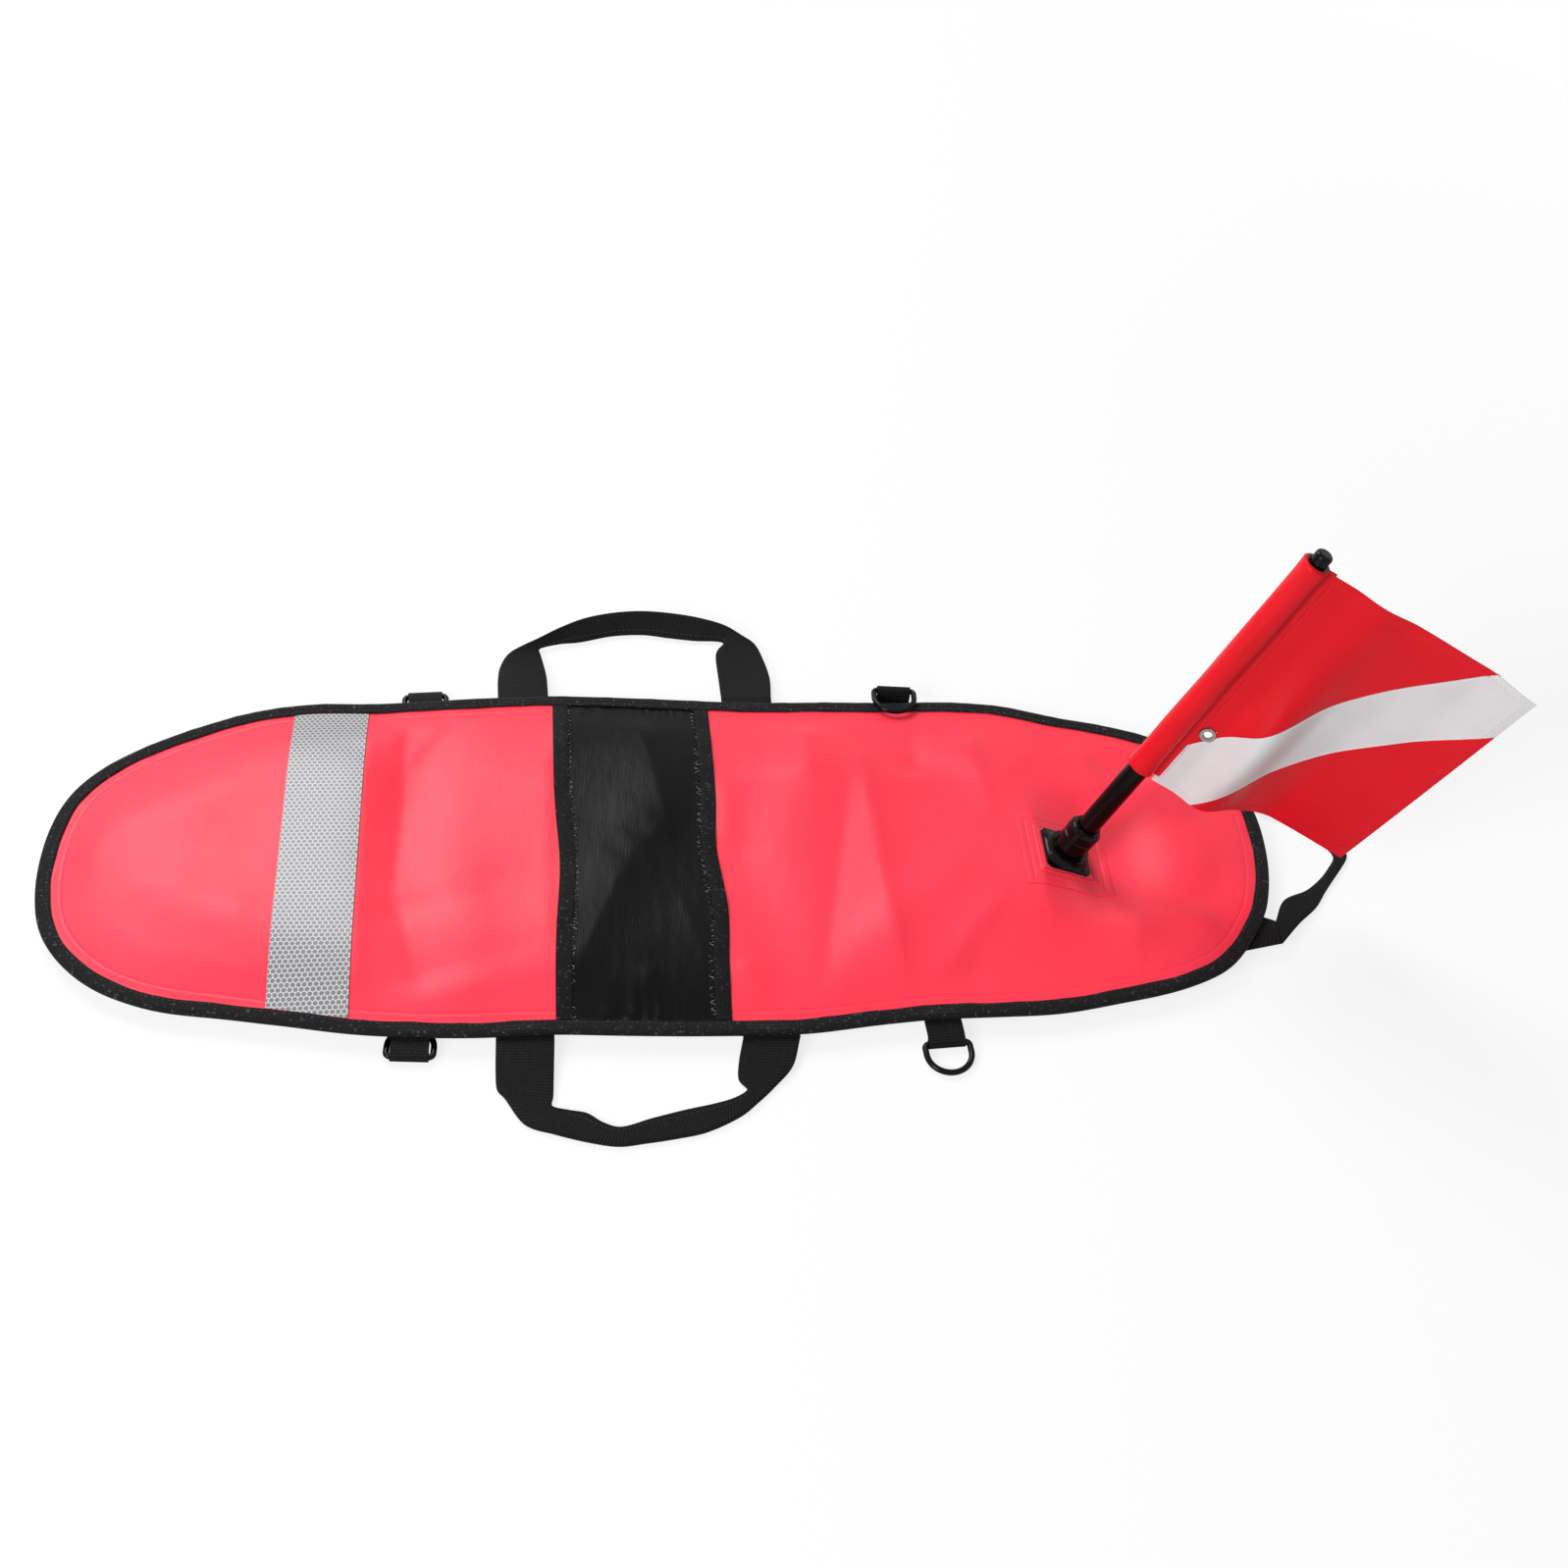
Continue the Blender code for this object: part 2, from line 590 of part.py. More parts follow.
def valve():
    """Flush screw valve in the underside: neck, one-way flap and turning cap."""
    frame = Matrix.Translation((VALVE_X, 0, 0))
    flange_z = SKIN + 2 * GAP + BLADDER_FILM + GAP
    neck, bore, rim = VALVE_NECK_RADIUS, VALVE_BORE_RADIUS, VALVE_FLANGE_RADIUS
    body = turned([(bore, VALVE_RECESS), (neck, VALVE_RECESS), (neck, flange_z),
                   (rim, flange_z), (rim, flange_z + VALVE_FLANGE),
                   (neck, flange_z + VALVE_FLANGE), (neck, VALVE_HEIGHT),
                   (bore, VALVE_HEIGHT)], through=True)
    finish("valve_body", body, VALVE_PLASTIC, None, frame)
    flap_z = VALVE_HEIGHT + GAP
    flap = turned([(0, flap_z), (VALVE_FLAP_RADIUS, flap_z),
                   (VALVE_FLAP_RADIUS, flap_z + VALVE_FLAP), (0, flap_z + VALVE_FLAP)])
    finish("valve_flap", flap, BLACK_NYLON, None, frame)

    fit = bore - GAP
    inner = fit - VALVE_GRIP
    plug_top = VALVE_RECESS + VALVE_CAP_HEIGHT
    plug = turned([(0, VALVE_RECESS), (fit, VALVE_RECESS), (fit, plug_top), (0, plug_top)])
    turning = empty("valve_axis", frame)
    cap = finish("valve_cap", plug, VALVE_PLASTIC)
    start = math.asin(VALVE_GRIP / 2 / inner)
    top = plug_top - VALVE_GRIP
    for turn in (0, math.pi):
        arc = spaced(start + turn, math.pi - start + turn, 8)
        pocket = [(inner * math.cos(a), inner * math.sin(a)) for a in arc]
        mesh = prism(pocket, [], 2 * top, lambda a, b, c: (a, b, c))
        trim(cap, finish("pocket", mesh, VALVE_PLASTIC))
    cap.parent = turning


def angles(count, start=0.0):
    return [start + 2 * math.pi * i / count for i in range(count)]


def patch(name, side, layer):
    """A reinforcing square of coated fabric that lies on the skin layer by layer."""
    skin = bpy.data.objects["tail_skin"]
    piece = bpy.data.objects.new(name, skin.data.copy())
    bpy.context.collection.objects.link(piece)
    piece.data.name = name
    piece.data.transform(Matrix.Translation((0, 0, layer * (SKIN + GAP))))
    half = side / 2
    frame = Matrix.Translation((MAST_X, MAST_OFFSET, 0))
    square = prism([(-half, -half), (half, -half), (half, half), (-half, half)], [],
                   BOARD_WIDTH, lambda a, b, c: (a, b, c))
    trim(piece, finish("square", square, CORAL_FABRIC, None, frame), "INTERSECT")


def mast_socket():
    """Square moulded flange with swept corners, ringed drum and collar."""
    patch("outer_socket_patch", OUTER_PATCH_SIDE, 1)
    patch("inner_socket_patch", INNER_PATCH_SIDE, 2)
    bore = MAST_RADIUS + GAP
    boss, rise, step = FLANGE_BOSS_RADIUS, FLANGE_RISE, DRUM_RING
    wide = DRUM_RADIUS + step
    rows = []
    for turn in angles(SOCKET_SIDES, math.pi / SOCKET_SIDES):
        c, s = math.cos(turn), math.sin(turn)
        edge = FLANGE_SIDE / 2 / max(abs(c), abs(s))
        column = [(0, 0), (edge, 0), (edge, FLANGE_EDGE)]
        for share, lift in FLANGE_SWEEP_SHARES:
            column.append((edge + (boss - edge) * share, FLANGE_EDGE + (rise - FLANGE_EDGE) * lift))
        column += [(boss, rise), (boss, rise + step), (wide, rise + step),
                   (wide, rise + 2 * step), (DRUM_RADIUS, rise + 2 * step),
                   (DRUM_RADIUS, DRUM_HEIGHT - step / 2),
                   (DRUM_RADIUS - step / 2, DRUM_HEIGHT), (bore, DRUM_HEIGHT),
                   (bore, SOCKET_FLOOR), (0, SOCKET_FLOOR)]
        rows.append([(r * c, r * s, z) for r, z in column])
    mesh = bmesh.new()
    skin_rows(mesh, rows, True, False)
    finish("mast_socket", mesh, BLACK_MOULDED, None, SEAT_FRAME, 25.0)

    low = DRUM_HEIGHT + GAP
    high = low + COLLAR_HEIGHT
    soft = step / 2
    collar = turned([(bore, low), (COLLAR_RADIUS - soft, low), (COLLAR_RADIUS, low + soft),
                     (COLLAR_RADIUS, high - step), (COLLAR_RADIUS - soft, high - soft / 2),
                     (COLLAR_NECK_RADIUS + soft, high), (COLLAR_NECK_RADIUS, high + soft),
                     (COLLAR_NECK_RADIUS, high + COLLAR_NECK), (bore, high + COLLAR_NECK)],
                    through=True)
    finish("socket_collar", collar, BLACK_MOULDED, None, SEAT_FRAME)


def mast():
    """Black tube with a foot plug below and a rounded plug on top."""
    carrier = empty("mast_axis", SEAT_FRAME)
    inner = MAST_RADIUS - MAST_WALL
    foot_z = SOCKET_FLOOR + GAP
    tube_z = foot_z + MAST_FOOT_LIP + GAP
    foot = turned([(0, foot_z), (MAST_RADIUS, foot_z), (MAST_RADIUS, foot_z + MAST_FOOT_LIP),
                   (inner - GAP, foot_z + MAST_FOOT_LIP),
                   (inner - GAP, foot_z + MAST_FOOT_LIP + MAST_FOOT_HEIGHT),
                   (0, foot_z + MAST_FOOT_LIP + MAST_FOOT_HEIGHT)])
    finish("mast_foot", foot, BLACK_MOULDED, carrier)
    top = tube_z + MAST_LENGTH
    tube = turned([(inner, tube_z), (MAST_RADIUS, tube_z), (MAST_RADIUS, top), (inner, top)],
                  through=True)
    finish("mast_tube", tube, BLACK_TUBE, carrier)
    z = top + GAP
    round_off, radius = MAST_CAP_ROUNDING, MAST_CAP_RADIUS
    cap_top = z + MAST_CAP_HEIGHT
    arc = [(radius - round_off * (1 - math.cos(a)), cap_top - round_off * (1 - math.sin(a)))
           for a in spaced(0, math.pi / 2, 4)]
    cap = turned([(0, z - MAST_CAP_STEM), (inner - GAP, z - MAST_CAP_STEM), (inner - GAP, z),
                  (MAST_RADIUS, z), (MAST_RADIUS, z + MAST_CAP_LIP), (radius, z + MAST_CAP_LIP)]
                 + arc + [(0, cap_top)])
    finish("mast_cap", cap, BLACK_MOULDED, carrier)
    return carrier


def flag_place(up, out):
    """A point of the flag's middle surface, in the mast's own frame."""
    turn = math.radians(FLAG_TURN_DEG)
    rise = (up - FLAG_BOTTOM) / FLAG_HOIST
    sweep = smooth((out - FLAG_WAVE_START) / (FLAG_WAVE_END - FLAG_WAVE_START))
    dip = math.sin(math.pi * min(max((out - FLAG_DIP_START) / FLAG_DIP_RUN, 0), 1))
    deepest = FLAG_DIP_REST_SHARE + math.exp(-((rise - FLAG_DIP_AT) / FLAG_DIP_FADE) ** 2)
    curl = smooth((out - FLAG_FLY + FLAG_CURL_RUN) / FLAG_CURL_RUN) * rise
    side = FLAG_SWEEP * sweep * (1 - rise) - FLAG_DIP * dip * deepest - FLAG_CURL * curl
    x = out * math.cos(turn) - side * math.sin(turn)
    y = out * math.sin(turn) + side * math.cos(turn)
    return Vector((x, y, up))


def flag_normal(up, out):
    step = FLAG_CLOTH
    a = flag_place(up, out + step) - flag_place(up, out - step)
    b = flag_place(up + step, out) - flag_place(up - step, out)
    return a.cross(b).normalized()


def flag_panel(name, lower, upper, outs, rows, finish_material, parent):
    """A cloth panel between two slanted borders, at stations out from the mast."""
    top, low = [], []
    for out in outs:
        a, b = lower(out), upper(out)
        top_row, low_row = [], []
        for j in range(rows + 1):
            up = a + (b - a) * j / rows
            half = flag_normal(up, out) * FLAG_CLOTH / 2
            top_row.append(flag_place(up, out) + half)
            low_row.append(flag_place(up, out) - half)
        top.append(top_row)
        low.append(low_row)
    return finish(name, slab(top, low), finish_material, parent)


def flag(parent):
    """Red flag with a white diagonal stripe, sewn to a sleeve that turns on the mast."""
    carrier = empty("flag_axis", Matrix.Identity(4))
    carrier.parent = parent
    hoist = SLEEVE_TAIL + GAP
    top_edge = FLAG_BOTTOM + FLAG_HOIST
    slope = FLAG_HOIST / (FLAG_FLY - hoist)

    def middle(out):
        return FLAG_BOTTOM + slope * (out - hoist)

    half = STRIPE_HALF_HEIGHT
    low_tip = hoist + half / slope
    high_tip = FLAG_FLY - half / slope
    outs = sorted(spaced(hoist, FLAG_FLY, FLAG_COLUMNS) + [low_tip, high_tip])
    upper_outs = [out for out in outs if out < high_tip - SKIN] + [high_tip - SKIN]
    lower_outs = [low_tip + SKIN] + [out for out in outs if out > low_tip + SKIN]
    flag_panel("flag_upper_panel", lambda out: middle(out) + half + GAP, lambda out: top_edge,
               upper_outs, FLAG_ROWS, FLAG_RED, carrier)
    flag_panel("flag_lower_panel", lambda out: FLAG_BOTTOM, lambda out: middle(out) - half - GAP,
               lower_outs, FLAG_ROWS, FLAG_RED, carrier)
    flag_panel("flag_stripe", lambda out: max(middle(out) - half, FLAG_BOTTOM),
               lambda out: min(middle(out) + half, top_edge), outs, STRIPE_ROWS, FLAG_WHITE, carrier)

    inner = MAST_RADIUS + SLEEVE_SLACK
    outer = inner + FLAG_CLOTH
    turn = math.radians(FLAG_TURN_DEG)
    lean = math.asin(FLAG_CLOTH / outer)
    arc = [lean + (2 * math.pi - 2 * lean) * i / ROUND for i in range(ROUND + 1)]
    ring = [(outer * math.cos(a), outer * math.sin(a)) for a in arc]
    outline = ring + [(SLEEVE_TAIL, -FLAG_CLOTH), (SLEEVE_TAIL, FLAG_CLOTH)]
    bore = [(inner * math.cos(a), inner * math.sin(a)) for a in angles(ROUND)]
    middle_z = (SLEEVE_BOTTOM + SLEEVE_TOP) / 2
    spin = Matrix.Rotation(turn, 3, "Z")
    sleeve = prism(outline, [bore], SLEEVE_TOP - SLEEVE_BOTTOM,
                   lambda a, b, c: spin @ Vector((a, b, middle_z + c)))
    finish("flag_sleeve", sleeve, FLAG_RED, carrier)

    up = FLAG_BOTTOM + EYELET_ABOVE_HEM
    out = SLEEVE_TAIL + GAP * 2 + EYELET_RADIUS
    normal = flag_normal(up, out)
    frame = Matrix.Translation(flag_place(up, out)) @ normal.to_track_quat("Z", "Y").to_matrix().to_4x4()
    hole_radius = EYELET_HOLE + EYELET_TUBE + GAP
    deep = FLAG_CLOTH / 2 + CUT_OVERRUN
    hole = finish("hole", turned([(0, -deep), (hole_radius, -deep), (hole_radius, deep),
                                  (0, deep)], 20), FLAG_RED)
    panel = bpy.data.objects["flag_upper_panel"]
    bpy.context.view_layer.update()
    hole.matrix_world = carrier.matrix_world @ frame
    trim(panel, hole)
    face = FLAG_CLOTH / 2 + GAP
    tube = EYELET_HOLE + EYELET_TUBE
    roll = EYELET_FLANGE / 2
    eyelet = turned([(EYELET_HOLE, -face), (EYELET_HOLE + roll, -face - EYELET_FLANGE),
                     (EYELET_RADIUS - roll, -face - EYELET_FLANGE), (EYELET_RADIUS, -face),
                     (tube, -face), (tube, face), (EYELET_RADIUS, face),
                     (EYELET_RADIUS - roll, face + EYELET_FLANGE),
                     (EYELET_HOLE + roll, face + EYELET_FLANGE), (EYELET_HOLE, face)],
                    20, through=True)
    made = finish("flag_eyelet", eyelet, NICKEL, carrier)
    made.matrix_local = frame


# Webbing tabs and rings at the edge
def edge_frame(x, side):
    """Frame on the board's edge: along it, outwards from it, and up."""
    k = int(np.argmin(np.abs(OUTLINE[:, 0] - x) + (OUTLINE[:, 1] * side < 0) * BOARD_LENGTH))
    out = Vector((*OUTWARD[k], 0))
    up = Vector((0, 0, 1))
    along = out.cross(up)
    frame = Matrix((along, out, up)).transposed().to_4x4()
    return Matrix.Translation((*OUTLINE[k], 0)) @ frame


def flat_tab():
    """Section of a tab whose doubled webbing runs in over the ring's bar."""
    eye = RING_WIRE + GAP
    outer = eye + WEBBING
    low = EDGE_LIFT - GAP - 2 * WEBBING
    high = EDGE_LIFT - GAP
    rise = low - BAR_HEIGHT
    meet = math.pi - math.asin(rise / outer)
    shoulder = math.radians(35)
    around = [shoulder + (meet - 2 * math.pi - shoulder) * i / 14 for i in range(15)]
    section = [(-TAB_TUCK, low), (-TAB_TUCK, high), (BAR_OUT - outer, high),
               (BAR_OUT, (high + BAR_HEIGHT + outer) / 2 + GAP)]
    section += [(BAR_OUT + outer * math.cos(a), BAR_HEIGHT + outer * math.sin(a))
                for a in around]
    hole = [(BAR_OUT + eye * math.cos(a), BAR_HEIGHT + eye * math.sin(a)) for a in angles(16)]
    return section, hole


def raised_tab():
    """Section of the tab that stands up beside the binding."""
    eye = RING_WIRE + GAP
    outer = eye + WEBBING
    low = EDGE_LIFT - GAP - 2 * WEBBING
    high = EDGE_LIFT - GAP
    bar_z = BINDING_TOP + RAISED_BAR_ABOVE
    outer_x = GAP + 2 * WEBBING
    wrap_start = math.radians(150)
    wrap_end = math.acos((RAISED_BAR_OUT - outer_x) / outer) - math.pi
    around = spaced(wrap_start, wrap_end, 14)
    section = [(-TAB_TUCK, low), (-TAB_TUCK, high), (GAP - WEBBING, high), (GAP, high + WEBBING),
               (GAP, bar_z - 2 * WEBBING)]
    section += [(RAISED_BAR_OUT + outer * math.cos(a), bar_z + outer * math.sin(a))
                for a in around]
    section += [(outer_x, high), (outer_x - WEBBING, low)]
    hole = [(RAISED_BAR_OUT + eye * math.cos(a), bar_z + eye * math.sin(a)) for a in angles(16)]
    return section, hole, bar_z


def wire_ring(name, frame, bar_out, bar_z, lean_deg):
    """A D-shaped ring round its bar, leaning by an angle up from straight out."""
    lean = math.radians(lean_deg)
    path = []
    for i in range(RING_STATIONS - 4):
        a = math.pi * (i + 1) / (RING_STATIONS - 3)
        c, s = math.cos(a), math.sin(a)
        power = 2 / RING_FULLNESS
        path.append((RING_HALF_WIDTH * math.copysign(abs(c) ** power, c), RING_DEPTH * s ** power))
    corner = RING_WIRE
    path += [(-RING_HALF_WIDTH, corner), (corner - RING_HALF_WIDTH, 0),
             (RING_HALF_WIDTH - corner, 0), (RING_HALF_WIDTH, corner)]
    sections = []
    count = len(path)
    for i in range(count):
        here = Vector((*path[i], 0))
        ahead = Vector((*path[(i + 1) % count], 0))
        behind = Vector((*path[i - 1], 0))
        tangent = ((ahead - here).normalized() + (here - behind).normalized()).normalized()
        side = tangent.cross(Vector((0, 0, 1)))
        stretch = 1 / max((here - behind).normalized().dot(tangent), 0.5)
        sections.append([here + side * RING_WIRE * stretch * math.cos(a)
                         + Vector((0, 0, RING_WIRE * math.sin(a)))
                         for a in angles(WIRE_SIDES, math.pi / WIRE_SIDES)])
    pivot = empty(name + "_axis", frame @ Matrix.Translation((0, bar_out, bar_z))
                  @ Matrix.Rotation(lean, 4, "X"))
    finish(name, swept(sections, True), BLACK_MOULDED, pivot, None, 50.0)


def rings():
    """Four rings in webbing tabs, one tab standing with its ring laid over the edge."""
    nose_x = NOSE_RING_FROM_NOSE - HALF_LENGTH
    tail_x = HALF_LENGTH - TAIL_RING_FROM_TAIL
    fall = math.degrees(math.asin((BAR_HEIGHT - RING_WIRE - GAP) / RING_DEPTH))
    places = (("far_nose", nose_x, 1, -180 + fall), ("near_nose", nose_x, -1, -180 + fall),
              ("near_tail", tail_x, -1, -fall))
    for name, x, side, lean in places:
        frame = edge_frame(x, side)
        section, hole = flat_tab()
        mesh = prism(section, [hole], TAB_WIDTH, lambda a, b, c: (c, a, b))
        finish(name + "_tab", mesh, BLACK_WEBBING, None, frame)
        wire_ring(name + "_ring", frame, BAR_OUT, BAR_HEIGHT, lean)
    frame = edge_frame(tail_x, 1)
    section, hole, bar_z = raised_tab()
    mesh = prism(section, [hole], TAB_WIDTH, lambda a, b, c: (c, a, b))
    finish("far_tail_tab", mesh, BLACK_WEBBING, None, frame)
    wire_ring("far_tail_ring", frame, RAISED_BAR_OUT, bar_z, 177.0)


# Webbing handles, drawn as pairs of outer and inner edge points:
# along and out as shares of the half span and reach, height share, folded share
NEAR_HANDLE_SHARES = (
    (-0.985, 0.000, -0.615, 0.000, 1.00, 1.00, 0.00),
    (-0.985, 0.230, -0.620, 0.230, 0.50, 0.50, 0.00),
    (-0.975, 0.370, -0.625, 0.430, 0.12, 0.12, 0.00),
    (-0.924, 0.450, -0.630, 0.520, 0.00, 0.05, 0.15),
    (-0.802, 0.670, -0.530, 0.560, 0.00, 0.10, 0.60),
    (-0.620, 0.755, -0.416, 0.593, 0.00, 0.10, 1.00),
    (-0.426, 0.825, -0.315, 0.675, 0.00, 0.05, 1.00),
    (-0.234, 0.870, -0.203, 0.715, 0.00, 0.10, 1.00),
    (-0.061, 0.850, -0.020, 0.650, 0.00, 0.10, 1.00),
    (0.142, 0.815, 0.193, 0.582, 0.00, 0.05, 1.00),
    (0.325, 0.767, 0.376, 0.535, 0.00, 0.05, 1.00),
    (0.528, 0.651, 0.508, 0.488, 0.00, 0.10, 1.00),
    (0.650, 0.535, 0.589, 0.420, 0.05, 0.20, 0.90),
    (0.772, 0.395, 0.540, 0.330, 0.10, 0.15, 0.40),
    (0.893, 0.235, 0.548, 0.190, 0.50, 0.50, 0.00),
    (0.955, 0.000, 0.585, 0.000, 1.00, 1.00, 0.00),
)
FAR_HANDLE_SHARES = (
    (-1.000, 0.000, -0.635, 0.000, 1.00, 1.00, 0.00),
    (-0.997, 0.280, -0.640, 0.300, 0.55, 0.55, 0.00),
    (-0.975, 0.510, -0.670, 0.520, 0.15, 0.15, 0.00),
    (-0.900, 0.665, -0.700, 0.620, 0.30, 0.10, 0.30),
    (-0.760, 0.760, -0.665, 0.670, 0.90, 0.10, 0.80),
    (-0.580, 0.860, -0.508, 0.745, 1.60, 0.00, 1.00),
    (-0.396, 0.940, -0.366, 0.800, 1.80, 0.00, 1.00),
    (-0.193, 0.985, -0.193, 0.845, 1.90, 0.00, 1.00),
    (0.041, 1.000, 0.010, 0.860, 1.90, 0.00, 1.00),
    (0.305, 0.970, 0.244, 0.840, 1.80, 0.00, 1.00),
    (0.528, 0.920, 0.467, 0.795, 1.60, 0.00, 1.00),
    (0.700, 0.850, 0.610, 0.740, 1.20, 0.05, 0.90),
    (0.853, 0.740, 0.660, 0.680, 0.60, 0.10, 0.50),
    (0.945, 0.600, 0.630, 0.590, 0.25, 0.15, 0.10),
    (0.985, 0.330, 0.610, 0.330, 0.55, 0.55, 0.00),
    (1.000, 0.000, 0.630, 0.000, 1.00, 1.00, 0.00),
)
END_HANDLE_SHARES = (
    (0.000, 1.000, 0.000, 0.821, 1.00, 0.00),
    (0.250, 0.795, 0.160, 0.560, 0.50, 0.50),
    (0.482, 0.622, 0.425, 0.430, 0.10, 0.90),
    (0.643, 0.420, 0.620, 0.280, 0.00, 1.00),
    (0.876, 0.150, 0.765, 0.120, 0.00, 1.00),
)
END_GRIP_SHARE = 0.84


def strap(pairs, thicknesses, hinged=False):
    """A flat strap through pairs of edge points; hinged rounds both ends to turn on them."""
    pairs, thicknesses = list(pairs), list(thicknesses)
    aims = []
    count = len(pairs)
    for i in range(count):
        ahead = sum(pairs[min(i + 1, count - 1)], Vector()) / 2
        behind = sum(pairs[max(i - 1, 0)], Vector()) / 2
        aims.append(ahead - behind)
    if hinged:
        for end in (0, -1):
            outer, inner = pairs[end]
            level = (outer - inner).cross(Vector((0, 0, 1))).normalized()
            aim = level * math.copysign(1, level.dot(aims[end]))
            aims[end] = aim
            half = thicknesses[end] / 2
            beyond = -aim if end == 0 else aim
            for turn in HINGE_TURNS_DEG:
                shift = beyond * half * math.sin(math.radians(turn))
                place = 0 if end == 0 else len(pairs)
                pairs.insert(place, (outer + shift, inner + shift))
                thicknesses.insert(place, 2 * half * math.cos(math.radians(turn)))
                aims.insert(place, aim)
    sections = []
    for (outer, inner), thickness, aim in zip(pairs, thicknesses, aims):
        half = aim.cross(outer - inner).normalized() * thickness / 2
        shy = half * 0.5
        rim = (outer - inner).normalized() * min(thickness, HANDLE_WEB) / 2
        sections.append([outer + shy, outer - rim + half, inner + rim + half, inner + shy,
                         inner - shy, inner + rim - half, outer - rim - half, outer - shy])
    return swept(sections, False)


def side_handle(name, shares, side):
    """A side handle and the two tails by which it is sewn under the binding."""
    centre_x = HANDLE_FROM_NOSE - HALF_LENGTH
    root = HALF_WIDTH + HINGE_OUT
    pairs, thick = [], []
    low = HANDLE_REST
    for a, b, c, d, high_outer, high_inner, folded in shares:
        ends = []
        for along, out, height in ((a, b, high_outer), (c, d, high_inner)):
            y = side * (root + out * (HANDLE_REACH - HINGE_OUT))
            z = low + height * (HANDLE_ROOT_Z - low)
            ends.append(Vector((centre_x + along * HANDLE_HALF_SPAN, y, z)))
        pairs.append(tuple(ends))
        thick.append(HANDLE_WEB + folded * (HANDLE_FOLDED - HANDLE_WEB))
    pivot = empty(name + "_axis", Matrix.Translation(
        (centre_x, side * (HALF_WIDTH + HINGE_OUT), HANDLE_ROOT_Z)))
    made = finish(name, strap(pairs, thick, True), BLACK_WEBBING)
    made.parent = pivot
    made.matrix_parent_inverse = pivot.matrix_world.inverted()
    for end, (a, _, c, _, _, _, _) in (("nose", shares[0]), ("tail", shares[-1])):
        stations = []
        for out in (HINGE_OUT - HINGE_ROOM, -HANDLE_TUCK):
            y = side * (HALF_WIDTH + out)
            stations.append((Vector((centre_x + a * HANDLE_HALF_SPAN, y, HANDLE_ROOT_Z)),
                             Vector((centre_x + c * HANDLE_HALF_SPAN, y, HANDLE_ROOT_Z))))
        finish(name + "_" + end + "_anchor", strap(stations, [HANDLE_WEB] * 2), BLACK_WEBBING)


def end_handle():
    """The tail's handle: a webbing loop hinged where its legs leave the binding."""
    hinge_x = HALF_LENGTH - END_HINGE_FROM_TAIL
    low = HANDLE_REST
    near, thick = [], []
    for a, b, c, d, height, folded in END_HANDLE_SHARES:
        z = low + height * (HANDLE_ROOT_Z - low)
        outer = Vector((hinge_x + a * END_HANDLE_REACH, -b * END_LEG_OUTER, z))
        inner = Vector((hinge_x + c * END_HANDLE_REACH, -d * END_LEG_OUTER, z))
        near.append((outer, inner))
        thick.append(HANDLE_WEB + folded * (HANDLE_FOLDED - HANDLE_WEB))
    tip_inner = END_HANDLE_REACH * END_GRIP_SHARE
    tip = (Vector((hinge_x + END_HANDLE_REACH, 0, low)),
           Vector((hinge_x + tip_inner, 0, low)))
    flip = Matrix.Diagonal((1, -1, 1))
    far = [(flip @ outer, flip @ inner) for outer, inner in reversed(near)]
    pivot = empty("end_handle_axis", Matrix.Translation((hinge_x, 0, HANDLE_ROOT_Z)))
    made = finish("end_handle", strap(near + [tip] + far, thick + [HANDLE_FOLDED] + thick[::-1],
                                        True), BLACK_WEBBING)
    made.parent = pivot
    made.matrix_parent_inverse = pivot.matrix_world.inverted()

    end_x = hinge_x - HINGE_ROOM
    for name, side in (("near", -1), ("far", 1)):
        edge = []
        for width in (END_LEG_ROOT, END_LEG_INNER):
            k = int(np.argmin(np.abs(OUTLINE[:, 1] - side * width) + (OUTLINE[:, 0] < 0) * BOARD_LENGTH))
            edge.append((Vector((*OUTLINE[k], 0)), Vector((*OUTWARD[k], 0))))
        lift = Vector((0, 0, HANDLE_ROOT_Z))
        inside = tuple(point - out * HANDLE_TUCK + lift for point, out in edge)
        middle = tuple(point + lift for point, out in edge)
        end = (Vector((end_x, side * END_LEG_OUTER, HANDLE_ROOT_Z)),
               Vector((end_x, side * END_LEG_INNER, HANDLE_ROOT_Z)))
        finish("end_handle_" + name + "_anchor", strap([inside, middle, end], [HANDLE_WEB] * 3),
               BLACK_WEBBING)


board_pieces()
valve()
mast_socket()
flag(mast())
rings()
side_handle("near_handle", NEAR_HANDLE_SHARES, -1)
side_handle("far_handle", FAR_HANDLE_SHARES, 1)
end_handle()
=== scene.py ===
# %% [markdown]
# # Dive flag float
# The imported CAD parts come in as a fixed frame, in metres: X runs from nose to tail, Z up from the floor.
# Fabric, webbing and flag are made again in finer form, and each stands for its CAD solid. The moulded
# and metal parts are right already, so they keep their CAD shape and get a better finish.

# %% Load the frame
import math

import bmesh
import bpy
import numpy as np
from mathutils import Matrix, Vector


